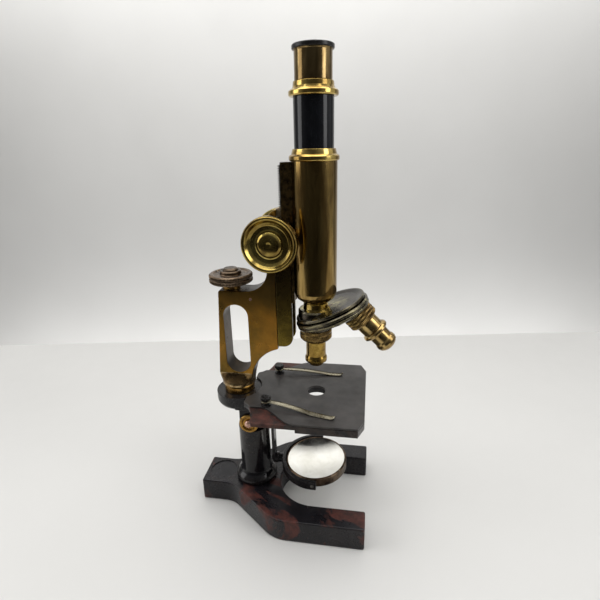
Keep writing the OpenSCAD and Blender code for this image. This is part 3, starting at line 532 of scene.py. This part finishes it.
stage = boolean(stage, [rod(1.6, 90, 110, bevel=0.02, at=p) for p in ((12, 0, 0), (29, 9, 0), (29, -9, 0))] + [rod(3.1, 103.2, 110, bevel=0.05, at=p) for p in ((12, 0, 0), (29, 9, 0), (29, -9, 0))])
put("stage_casting", stage, STAGEM, "stand", "stage_metal", "stage_body")
s_curve = [(14.2 + 28.2 * t / 16, 28.2 + 18.3 * (1 - math.cos(PI * t / 16)) / 2) for t in range(17)]
plate_rear = [(0, 18.3), (0, 22.8), (1.3, 23.7), (3.6, 25.4), (5.4, 27.6), (6.4, 28.2), (12.5, 28.2)] + s_curve
plate_out = plate_rear + front + [(x, -y) for x, y in reversed(plate_rear)] + list(reversed(notch))
top = flat([plate_out, circle(53.2, 0, 7.1, 80)] + holes, 105.2, 106.8, 0.35)
put("stage_top", top, PLATE, "stand", "stage_black", "stage_plate")


# -------------------------------------------------------------------- clips
def bz(x, l, k):
    return 106.8 + 0.3 + 2.85 * max(0.0, math.cos(rad(90 * min(x, l) / l))) ** 0.9 + k * math.sin(rad(180 * min(x, 40) / 40))


def clip(tag, y, a, l, k):
    M = T(18, y, 0)
    post = turned([(0, 98), (1.8, 98), (1.8, 106.9), (3.9, 106.9), (3.9, 107.8), (2.2, 108.4, 0.6), (2.2, 111.5), (3.5, 111.5), (3.9, 112), (3.9, 113.5), (3.3, 114.3, 0.5), (1.2, 114.45), (0, 114.3)], 144, 0.2, [(111.8, 113.8, 3.4, 24, 0.3)], M)
    put("clip_post_piece_" + tag, post, EBON, "clip_" + tag, "worn_bronze", "clip_post_" + tag)
    xs = [2.3 + 48.9 * i / 44 for i in range(45)]
    path = [(x, bz(x, l, k) + 0.45) for x in xs] + [(52.3, 107.75), (53.2, 108.1), (54.0, 108.75), (54.4, 109.6)]
    strip = bar(path, lambda t: 3.0 + 1.5 * min(1, t / 0.18) ** 0.7 - 0.5 * max(0, t - 0.3) - (3.0 * max(0, t - 0.93) / 0.07 if t > 0.93 else 0), 0.8)
    strip.transform(M @ R(a, "Z"))
    eye = turned([(2.22, 109.9), (3.6, 109.9), (3.6, 110.8), (2.22, 110.8)], 64, 0.2, M=M)
    put("clip_blade_piece_" + tag, joined(strip, eye), NICKEL, "clip_" + tag, "nickel", "clip_blade_" + tag)


clip("near", -25, -13, 36, 0.3)
clip("far", 25, 1, 46, 0.6)

# ------------------------------------------------------------------- mirror
FP = T(0, 0, 38.6) @ R(3, "X") @ T(0, 0, -38.6)
MP = FP @ T(52.5, 0, 38.6) @ R(-2.3, "Y")
cell = turned([(0, -2.2), (0, -0.2), (23.8, -0.2), (23.8, 4.0, 0.15), (24.4, 4.0), (25.3, 3.4, 0.5), (25.3, -3.4, 0.5), (24.4, -4.0), (23.8, -4.0), (23.8, -2.2)], 160, 0.25)
cell = boolean(cell, [rod(1.56, s * 24.85 - 1.15, s * 24.85 + 1.15, "Y", bevel=0.02) for s in (-1, 1)])
cell.transform(MP)
put("mirror_ring", cell, CELL, "mirror", "worn_bronze", "mirror_cell")
put("mirror_plane", turned([(0, -3.6), (23.75, -3.6), (23.75, -2.2), (0, -2.2)], 160, 0.15, M=MP), MIRROR, "mirror", "mirror_glass", "mirror_plane_glass")
dished = [(23.75 * i / 24, 3.6 - (23.8 ** 2 - (23.75 * i / 24) ** 2) / 190, 0) for i in range(24, -1, -1)]
put("mirror_concave", turned([(0, -0.2), (23.75, -0.2)] + dished, 192, 0.1, M=MP), MIRROR, "mirror", "mirror_glass", "mirror_concave_glass")
ring = turned([(25.95, -3.7), (28.8, -3.7), (28.8, 3.7), (25.95, 3.7)], 160, 0.6)
ring = boolean(ring, [block((-40, -40, -10), (3, 40, 10), 0.05)], "INTERSECT")
ring.transform(T(52.5, 0, 38.6))
stem = turned([(0, 14.2), (2, 14.2), (2, 20.7), (3.7, 20.7), (3.7, 24.0), (3.4, 26.6), (0, 26.6)], 64, 0.3)
stem.transform(T(0, 0, 38.6) @ R(90, "Y"))
fork = boolean(ring, [stem], "UNION")
fork = boolean(fork, [rod(1.5, 24, 30, "Y", bevel=0.02, at=(52.5, 0, 38.6)), rod(1.5, -30, -24, "Y", bevel=0.02, at=(52.5, 0, 38.6))])
fork.transform(FP)
put("mirror_fork_ring", fork, CASTING, "fork", "black_lacquer", "mirror_fork")
mb = boolean(block((15.4, -4, 38.6), (17.6, 4, 100), 0.35), [rod(4, 15.4, 17.6, "X", bevel=0.3, at=(0, 0, 38.6)), rod(4.4, 17.3, 20.4, "X", bevel=0.4, at=(0, 0, 38.6))], "UNION")
mb = boolean(mb, [rod(2.05, 10, 24, "X", bevel=0.02, at=(0, 0, 38.6))] + [rod(1.3, 14, 22, "X", bevel=0.02, at=(0, 0, z)) for z in (92.5, 97.5)])
put("mirror_hanger", mb, CASTING, "stand", "black_lacquer", "mirror_bar")

# --------------------------------------------------------------------- limb
under = [(32.7 - 29 * math.cos(rad(a)), 117.5 + 29 * math.sin(rad(a))) for a in [10.6 + (65.0 - 10.6) * i / 30 for i in range(31)]]
side = [(-22.7, 122.8), (4.2, 122.8)] + under + [(25.2, 145.6), (25.2, 214), (19.3, 214), (19.3, 207)] + [(3.3 + 16 * math.cos(rad(a)), 207 + 16 * math.sin(rad(a))) for a in [0 - 90 * i / 20 for i in range(1, 21)]] + [(-17.6, 191), (-18.4, 190), (-20.2, 160)]
window = arc(-6.4, 133.5, 9.5, 180, 360, 24) + arc(-6.4, 170.7, 9.5, 0, 180, 24)
arm = XZ([side, window], -8.75, 8.75, 0.7, 3)
arm = boolean(arm, [block((-15, -2.5, 181.8), (23, 2.5, 188.4), 0.05), rod(4, 187, 196, bevel=0.05, at=(-10.3, 0, 0)), flat([[(21.9, -6.12), (21.9, 6.12), (25.6, 4.25), (25.6, -4.25)]], 149.5, 220, 0.01), rod(1.2, -20, 20, "Y", bevel=0.05, at=(6.2, 0, 185.1))])
arm = boolean(arm, [rod(3.6, 110, 123.2, bevel=0.02, at=(-9.8, 0, 0))])


def foot_loft():
    n, verts, faces = 160, [], []
    rect = fillet([(-22.6, -8.7), (4.1, -8.7), (4.1, 8.7), (-22.6, 8.7)], 0.8, 4, False)
    levels = [(112.4, 0.0, 13.1), (112.8, 0.0, 13.4), (114.4, 0.0, 13.4), (115.4, 0.10, 13.4), (116.6, 0.26, 13.4), (118.0, 0.48, 13.4), (119.6, 0.70, 13.4), (121.2, 0.88, 13.4), (122.4, 0.98, 13.4), (123.2, 1.0, 13.4)]

    def on_rect(th):
        # where the ray from the axis meets the rectangle
        cx, cy = -9.8, 0
        d = Vector((math.cos(th), math.sin(th)))
        best = 1e9
        for i in range(len(rect)):
            a, b = Vector(rect[i - 1]) - Vector((cx, cy)), Vector(rect[i]) - Vector((cx, cy))
            e = b - a
            det = d.x * -e.y + d.y * e.x
            if abs(det) < 1e-9:
                continue
            t = (a.x * -e.y + a.y * e.x) / det
            u = (d.x * a.y - d.y * a.x) / det
            if t > 0 and -1e-6 <= u <= 1 + 1e-6:
                best = min(best, t)
        return best

    reach = [on_rect(2 * PI * k / n) for k in range(n)]
    for z, t, r in levels:
        for k in range(n):
            th = 2 * PI * k / n
            q = min(reach[k], 99)
            # flat cheeks grow out of the round foot
            w = r + (q - r) * t
            verts.append((-9.8 + w * math.cos(th), w * math.sin(th), z))
    for i in range(len(levels) - 1):
        for k in range(n):
            m = (k + 1) % n
            faces.append((i * n + k, i * n + m, (i + 1) * n + m, (i + 1) * n + k))
    faces.append(tuple(range(n)))
    faces.append(tuple(range((len(levels) - 1) * n, len(levels) * n)))
    me = bpy.data.meshes.new("foot")
    me.from_pydata(verts, [], faces)
    return tidy(me)


lf = boolean(foot_loft(), [rod(3.6, 105, 124, bevel=0.02, at=(-9.8, 0, 0))])
put("limb_arm", arm, ARM, "stand", "aged_brass", "limb")
put("limb_foot", lf, ARMFOOT, "stand", "aged_brass", "limb", angle=50)
put("limb_collar_ring", turned([(3.6, 105.2), (11.7, 105.2), (12, 106), (12, 110.4), (11.2, 112.35), (3.6, 112.35)], 128, 0.4, M=T(-9.8, 0, 0)), COLLAR, "stand", "aged_brass", "limb_collar")

# ---------------------------------------------------------- fine adjustment
put("fine_bush_piece", turned([(2.06, 188.45), (3.95, 188.45), (3.95, 191), (6.6, 191), (6.6, 193, 0.4), (5.2, 194.6, 0.5), (2.06, 194.6)], 96, 0.25, M=T(-10.3, 0, 0)), COLLAR, "stand", "aged_brass", "fine_bush")
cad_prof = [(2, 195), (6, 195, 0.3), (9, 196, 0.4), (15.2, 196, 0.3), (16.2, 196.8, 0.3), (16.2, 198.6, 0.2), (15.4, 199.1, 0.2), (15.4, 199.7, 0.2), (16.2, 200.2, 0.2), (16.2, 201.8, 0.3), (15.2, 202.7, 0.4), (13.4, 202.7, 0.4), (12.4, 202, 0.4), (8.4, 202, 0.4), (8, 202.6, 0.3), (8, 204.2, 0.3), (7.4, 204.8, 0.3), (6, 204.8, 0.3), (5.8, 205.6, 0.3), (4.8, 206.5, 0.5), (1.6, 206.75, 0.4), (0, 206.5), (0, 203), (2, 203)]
put("fine_knob_disc", turned(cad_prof, 480, 0.2, [(196.5, 198.9, 15.9, 96, 0.42), (199.9, 202.2, 15.9, 96, 0.42)], T(-10.3, 0, 0)), BRONZE, "knob", "dark_bronze", "fine_knob")

# --------------------------------------------------------------- fine slide
blk = XZ([[(25.5, 241.8), (25.5, 148)] + arc(29.8, 155, 7, -90, 0, 14) + [(36.8, 241.8)]], -8.75, 8.75, 0.6, 3)
rail = flat([[(22.05, -6), (22.05, 6), (25.9, 4.0), (25.9, -4.0)]], 160, 204, 0.05)
blk = boolean(blk, [rail], "UNION")
blk = boolean(blk, [flat([[(31.2, -7.3), (31.2, 7.3), (37, 5.3), (37, -5.3)]], 140, 260, 0.01), block((28.1, -3.1, 140), (31.3, 3.1, 260), 0.02), rod(5.2, -3, 3, "Y", bevel=0.05, at=(25, 0, 228.5)), rod(2.56, -20, 20, "Y", bevel=0.02, at=(25, 0, 228.5)), block((20, -2.3, 183.6), (25.1, 2.3, 186.7), 0.02)]
              + [rod(1.2, 20, 27.6, "X", bevel=0.02, at=(0, y, z)) for z in (219.5, 238.5) for y in (-5.6, 5.6)])
put("slide_block_piece", blk, OLIVE, "block", "olive_brass", "slide_block")
cov_pts = [(25.5, 215.6), (19.6, 215.6), (17.4, 218), (16.2, 222), (15.8, 228.5), (16.8, 235), (18.6, 240.5), (21.4, 245.6), (24.2, 248.6), (26.8, 250), (28, 250.3), (28, 241.85), (25.5, 241.85)]
cov = XZ([fillet(cov_pts, 1.5, 4, False, 0.08)], -8.75, 8.75, 0.6, 3)
cov = boolean(cov, [rod(5.2, -3, 3, "Y", bevel=0.05, at=(25, 0, 228.5)), rod(2.56, -20, 20, "Y", bevel=0.02, at=(25, 0, 228.5))]
              + [rod(1.2, 10, 27, "X", bevel=0.02, at=(0, y, z)) for z in (219.5, 238.5) for y in (-5.6, 5.6)] + [rod(2.1, 10, 20.4, "X", bevel=0.05, at=(0, y, z)) for z in (219.5, 238.5) for y in (-5.6, 5.6)])
put("pinion_cover_piece", cov, COVER, "block", "aged_brass", "pinion_cover")

# -------------------------------------------------------------- coarse knobs
ck = [(0, 6.1), (0, 10.2), (1.6, 10.9, 0.5), (2.4, 11.1, 0.5), (4.8, 10.9, 1), (7, 10.3, 1), (8.6, 9.2, 1), (9.1, 8, 0.6), (9.3, 7.3, 0.5), (10.4, 7, 0.8), (13, 7.4, 2), (15.2, 8.8, 2), (16.7, 10.7, 0.5), (17.7, 11.2, 0.5), (18.6, 10.9, 0.4), (19.4, 9.8, 0.4), (19.4, 4.8, 0.4), (19.0, 3.9, 0.4), (17.4, 3.2, 0.4), (7.4, 3.2, 0.8), (6, 2, 0.8), (6, 0, 0.3), (2.5, 0), (2.5, 6.1)]
for s, tag in ((-1, "near"), (1, "far")):
    M = T(25, s * 12.8, 228.5) @ (R(90, "X") if s < 0 else R(-90, "X"))
    put("coarse_knob_piece_" + tag, turned(ck, 600, 0.25, [(4.4, 10.2, 18.9, 120, 0.38)], M), KNOB, "pinion_shaft", "bright_brass", "coarse_knob_" + tag)
    M = T(25, 0, 228.5) @ (R(90, "X") if s < 0 else R(-90, "X"))
    put("pinion_bush_" + tag, turned([(2.56, 8.8), (7.2, 8.8), (7.2, 11.6), (6.4, 12.4), (2.56, 12.4)], 96, 0.3, M=M), COVER, "block", "bright_brass", *(["pinion_bushes"] if s < 0 else []))

# --------------------------------------------------------------------- tube
O = T(53.2, 0, 0)
put("tube_barrel", turned([(9.6, 183.5), (11.8, 184.4, 1), (13.6, 186, 2), (14.9, 188.2, 2), (15.5, 190.8, 2), (15.5, 281, 0.2), (14.3, 281), (14.3, 190.6), (12, 187.4), (8, 186.4), (8, 183.5)], 192, 0.2, M=O), TUBE, "tube", "lacquered_brass", "body_tube")
put("tube_collar_piece", turned([(13.17, 272), (14.3, 272), (14.3, 281), (16.2, 281), (16.8, 281.7, 0.4), (16.8, 283.8, 0.4), (16.2, 284.6, 0.4), (15.2, 285, 0.4), (14.9, 286.2, 0.4), (14.3, 288.4, 0.3), (13.17, 288.6)], 192, 0.2, M=O), RING, "tube", "lacquered_brass", "tube_collar")
put("draw_tube_piece", turned([(12.2, 222), (13.1, 222), (13.1, 319.5), (12.2, 319.5)], 160, 0.1, M=O), LACQ, "drawtube", "black_lacquer", "draw_tube")
put("draw_ring_piece", turned([(11.68, 319.5), (15.3, 319.5, 0.3), (16, 320.2, 0.4), (16, 322.3, 0.4), (15.4, 323, 0.3), (13.9, 323.6, 0.5), (13.2, 325.2, 1), (12.9, 328, 0.3), (11.68, 328)], 192, 0.2, M=O), RING, "drawtube", "lacquered_brass", "draw_ring")
put("eyepiece_barrel", turned([(10.8, 296), (11.6, 296), (11.6, 328.3), (12, 328.3), (12, 344.6, 0.4), (12.6, 345.6, 0.2), (10.8, 345.6)], 192, 0.2, M=O), EYE, "eyepiece", "lacquered_brass", "eyepiece_tube")
put("eyepiece_cap_piece", turned([(7, 341), (10.8, 341), (10.8, 345.6), (13, 345.6, 0.2), (13.3, 346, 0.2), (13.3, 347.7, 0.3), (12.9, 348.2, 0.4), (11.2, 348.2, 0.6), (9.6, 347.2, 1), (4, 346.4, 0.4), (3.6, 346, 0.2), (3.6, 345), (7, 344.6)], 192, 0.2, M=O), EBON, "eyepiece", "ebonite", "eyepiece_cap")

# ---------------------------------------------------------------- nosepiece
P0 = T(53.2, 0, 205)
NM = P0 @ R(157.5, "Y")
LM = P0 @ R(180, "Y")
HM = P0 @ R(135, "Y")
neck_ring = boolean(turned([(7, 174), (9.25, 174), (9.25, 177.2), (9, 178.2, 0.4), (9, 182, 0.5), (9.6, 183.45), (7, 183.45)], 128, 0.15, M=O),
                    [turned([(0, 29.4), (60, 29.4), (60, 69), (0, 69)], 64, 0.02, M=NM), turned([(0, 20), (2.5, 20), (2.5, 40), (0, 40)], 48, 0.02, M=NM)])
put("nose_neck_piece", neck_ring, RING, "tube", "lacquered_brass", "nosepiece_neck")
dish = turned([(0, 27.6), (14, 28, 3), (21, 27.8, 3), (24.6, 26.8, 0.8), (26.3, 26.8, 0.25), (26.6, 27.3, 0.3), (26.6, 28.6, 0.4), (25.6, 29.6, 0.4), (0, 29.6)], 192, 0.3, M=NM)
sock = boolean(turned([(0, 166), (12.8, 166), (12.8, 176, 0.5), (11.8, 177.2, 0.3), (0, 177.2)], 128, 0.2, M=O), [turned([(0, 0), (40, 0), (40, 29.55), (0, 29.55)], 64, 0.02, M=NM)], "INTERSECT")
dish = boolean(dish, [sock], "UNION")
dish = boolean(dish, [rod(7, 160, 190, bevel=0.02, at=(53.2, 0, 0)), rod(9.3, 174, 184, bevel=0.02, at=(53.2, 0, 0)), turned([(0, 20), (2.4, 20), (2.4, 40), (0, 40)], 48, 0.02, M=NM)])
cut = block((-3, 9, 28.6), (3, 22, 30.5), 0.05)
cut.transform(NM)
dish = boolean(dish, [cut])
put("nose_dish_piece", dish, NOSE, "tube", "tarnished_nickel", "nosepiece_dish")
disc = turned([(3.46, 29.9), (27, 29.9, 0.3), (28, 30.6, 0.35), (28, 31.8, 0.3), (27.2, 32.3, 0.2), (27.2, 32.9, 0.2), (28, 33.4, 0.3), (27.8, 34.6, 0.5), (26.4, 35.6, 0.8), (9, 41.2, 1), (3.46, 41.5)], 192, 0.3, M=NM)
for M, h in ((LM, 43.6), (HM, 42.4)):
    bossm = boolean(turned([(0, 10), (11.2, 10), (11.2, h, 0.4), (0, h)], 128, 0.2, M=M), [turned([(0, 31), (28, 31), (28, 60), (0, 60)], 96, 0.02, M=NM)], "INTERSECT")
    disc = boolean(disc, [bossm], "UNION")
disc = boolean(disc, [turned([(0, 20), (7.9, 20), (7.9, 38.6), (10.1, 38.6), (10.1, 60), (0, 60)], 96, 0.02, M=M) for M in (LM, HM)] + [turned([(0, 41.5), (5.6, 41.5), (5.6, 60), (0, 60)], 64, 0.02, M=NM), turned([(0, 42.4), (12.2, 42.4), (12.2, 62), (0, 62)], 96, 0.02, M=HM)])
put("nose_disc_piece", disc, NOSE, "nosepiece", "tarnished_nickel", "nosepiece_disc")
ns = turned([(0, 27.65), (2.4, 27.65), (2.4, 29.6), (3.4, 29.6), (3.4, 41.7), (5, 41.7), (4.7, 43, 0.5), (3.2, 44.1, 0.8), (0, 44.6)], 96, 0.2)
ns = boolean(ns, [block((-7, -0.5, 43.6), (7, 0.5, 46), 0.05)])
ns.transform(NM)
put("nose_screw_piece", ns, BRONZE, "tube", "dark_bronze", "nosepiece_screw")
put("low_objective_ring", turned([(6.6, 38.6), (10.1, 38.6), (10.1, 43.6), (11.6, 43.6, 0.3), (12, 44.2, 0.2), (12, 45.6, 0.2), (11.5, 46.1, 0.2), (11.5, 46.7, 0.2), (12, 47.3, 0.2), (12, 50.6, 0.3), (11, 51.8, 0.5), (9.6, 52.8, 0.5), (7.9, 54, 0.3), (6.6, 54)], 480, 0.15, [(43.9, 45.9, 11.8, 80, 0.32), (46.9, 51.0, 11.8, 80, 0.32)], LM), OBJRING, "nosepiece", "objective_brass", "low_objective_mount")
put("low_objective_tube", turned([(5, 48), (6.6, 48), (6.6, 54), (7.55, 54), (7.55, 65.4, 0.5), (8.3, 67.2, 0.8), (8.5, 68.8, 0.6), (8.3, 70.4, 0.5), (7, 71.4, 0.4), (5.6, 72.2, 0.3), (5.3, 73.7, 0.3), (2.4, 73.7), (2.4, 71), (5, 68)], 128, 0.15, M=LM), OBJ, "nosepiece", "objective_brass", "low_objective_barrel")
put("high_objective_ring", turned([(7, 38.6), (10.1, 38.6), (10.1, 42.4), (11.2, 42.4, 0.3), (11.6, 43, 0.2), (11.6, 44.2, 0.2), (11.1, 44.7, 0.2), (11.1, 45.1, 0.2), (11.6, 45.6, 0.2), (11.6, 46.8, 0.2), (11.1, 47.3, 0.2), (11.1, 47.7, 0.2), (11.6, 48.2, 0.2), (11.5, 50, 0.3), (10.4, 51.2, 0.4), (8.6, 52, 0.3), (7, 52)], 480, 0.15, [(42.7, 44.4, 11.4, 80, 0.3), (45.3, 47.0, 11.4, 80, 0.3), (47.9, 50.1, 11.4, 80, 0.3)], HM), OBJRING, "nosepiece", "objective_brass", "high_objective_mount")
put("high_objective_tube", turned([(5, 46), (7, 46), (7, 52), (8.4, 52), (8.4, 60), (9.6, 60.6, 0.3), (10.3, 61.6, 0.3), (10.3, 63, 0.3), (9.4, 64, 0.3), (7.5, 64.6, 0.3), (7.3, 71), (8, 72.2, 0.4), (8.2, 74.2, 0.5), (7.6, 76.2, 0.8), (6, 77.8, 0.8), (4.4, 78.6, 0.4), (2, 78.8), (2, 76), (5, 73)], 160, 0.15, M=HM), HIGH, "nosepiece", "objective_brass", "high_objective_barrel")

# ------------------------------------------- finishes of the kept CAD nodes
kept = {
    "pivot_pin": STEEL, "stage_screws": STEEL, "limb_bolt": STEEL, "mirror_bar_screws": STEEL, "mirror_trunnions": STEEL,
    "fine_spindle": STEEL, "fine_lever": STEEL, "fine_lever_pin": PINK, "fine_spring": STEEL, "cover_screws": STEEL, "pinion": STEEL,
    "tube_slide": DOVE, "rack": STEEL, "rack_screws": STEEL, "click_spring": STEEL, "eyepiece_stop": INSIDE,
    "eye_lens": LENS, "field_lens": LENS, "low_objective_lens": LENS, "high_objective_lens": LENS,
}
for name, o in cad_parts.items():
    if o.hide_render:
        continue
    mat = kept.get(name, STEEL)
    o.data.materials.clear()
    o.data.materials.append(mat)
    for p in o.data.polygons:
        p.material_index = 0

# ------------------------------------------------------ camera, floor, light
yaw, pitch, roll = rad(9.579), rad(19.498), rad(-1.311)
fwd = Vector((-math.sin(yaw) * math.cos(pitch), math.cos(yaw) * math.cos(pitch), -math.sin(pitch)))
right = Vector((math.cos(yaw), math.sin(yaw), 0))
up = right.cross(fwd)
r2 = math.cos(roll) * right + math.sin(roll) * up
u2 = -math.sin(roll) * right + math.cos(roll) * up
cam = bpy.data.cameras.new("camera")
cam.sensor_width = 36
cam.lens = 36 * 428.288 / 600
cam.clip_start, cam.clip_end = 0.01, 20
co = bpy.data.objects.new("camera", cam)
bpy.context.scene.collection.objects.link(co)
co.matrix_world = Matrix(((r2.x, u2.x, -fwd.x, 0.0914), (r2.y, u2.y, -fwd.y, -0.2952), (r2.z, u2.z, -fwd.z, 0.2888), (0, 0, 0, 1)))
bpy.context.scene.camera = co


def table_top():
    """Pale table with a straight far edge and a plain wall well behind it, square to the camera."""
    verts = [(-1.3, -0.05, 0), (1.3, -0.05, 0), (1.3, 0.63, 0), (-1.3, 0.63, 0), (-1.3, 0.63, -0.03), (1.3, 0.63, -0.03),
             (-2.6, 1.3, -1.2), (2.6, 1.3, -1.2), (2.6, 1.3, 2.4), (-2.6, 1.3, 2.4)]
    faces = [(0, 1, 2, 3), (3, 2, 5, 4), (6, 7, 8, 9)]
    me = bpy.data.meshes.new("table")
    me.from_pydata(verts, [], faces)
    o = bpy.data.objects.new("table", me)
    bpy.context.scene.collection.objects.link(o)
    o.matrix_world = T(0.0914, -0.2952, 0) @ Matrix.Rotation(yaw, 4, "Z")
    m = Mat("table_white")
    c = m.ramp(m.noise(3, 3, 0.5), (0.3, lin((206, 205, 202))), (0.7, lin((212, 211, 208))))
    m.set("Base Color", c)
    m.set("Roughness", m.span(m.noise(40, 3, 0.5), 0.45, 0.6))
    m.bump((m.noise(400, 3, 0.6), 0.05, 0.05))
    me.materials.append(m.m)
    return o


table_top()


def area(name, at, to, size, power, color=(1, 1, 1)):
    l = bpy.data.lights.new(name, "AREA")
    l.shape, l.size, l.size_y, l.energy, l.color = "RECTANGLE", size[0], size[1], power, color
    o = bpy.data.objects.new(name, l)
    bpy.context.scene.collection.objects.link(o)
    o.location = at
    o.rotation_mode = "QUATERNION"
    o.rotation_quaternion = (Vector(to) - Vector(at)).to_track_quat("-Z", "Y")
    return o


area("top_panel", (0.05, 0.0, 0.95), (0.05, 0.02, 0), (0.9, 0.7), 5.5)
area("left_panel", (-0.9, -0.2, 0.55), (0.03, 0, 0.15), (0.5, 0.7), 3.0)
area("right_panel", (0.95, -0.25, 0.6), (0.05, 0, 0.15), (0.4, 0.7), 3.0)

# two panels behind the table's far edge, facing the wall only
area("wall_upper", (-0.02, 0.50, 1.15), (-0.19, 1.50, 1.15), (2.4, 0.7), 17.0)
area("wall_lower", (-0.02, 0.50, -0.70), (-0.19, 1.50, -0.70), (2.4, 0.5), 14.5)

w = bpy.data.worlds.new("studio")
bpy.context.scene.world = w
w.use_nodes = True
nt = w.node_tree
bg = nt.nodes["Background"]
tc = nt.nodes.new("ShaderNodeTexCoord")
sx = nt.nodes.new("ShaderNodeSeparateXYZ")
nt.links.new(tc.outputs["Generated"], sx.inputs[0])
mr = nt.nodes.new("ShaderNodeMapRange")
for k, v in enumerate((-0.85, 0.1, 0.10, 0.80)):
    mr.inputs[k + 1].default_value = v
nt.links.new(sx.outputs["Y"], mr.inputs[0])
mz = nt.nodes.new("ShaderNodeMapRange")
for k, v in enumerate((-0.3, 0.5, 0.25, 1.0)):
    mz.inputs[k + 1].default_value = v
nt.links.new(sx.outputs["Z"], mz.inputs[0])
mu = nt.nodes.new("ShaderNodeMath")
mu.operation = "MULTIPLY"
nt.links.new(mr.outputs[0], mu.inputs[0])
nt.links.new(mz.outputs[0], mu.inputs[1])
nt.links.new(mu.outputs[0], bg.inputs["Strength"])
bg.inputs["Color"].default_value = (1.0, 1.0, 1.0, 1)
vs = bpy.context.scene.view_settings
vs.view_transform = "Standard"
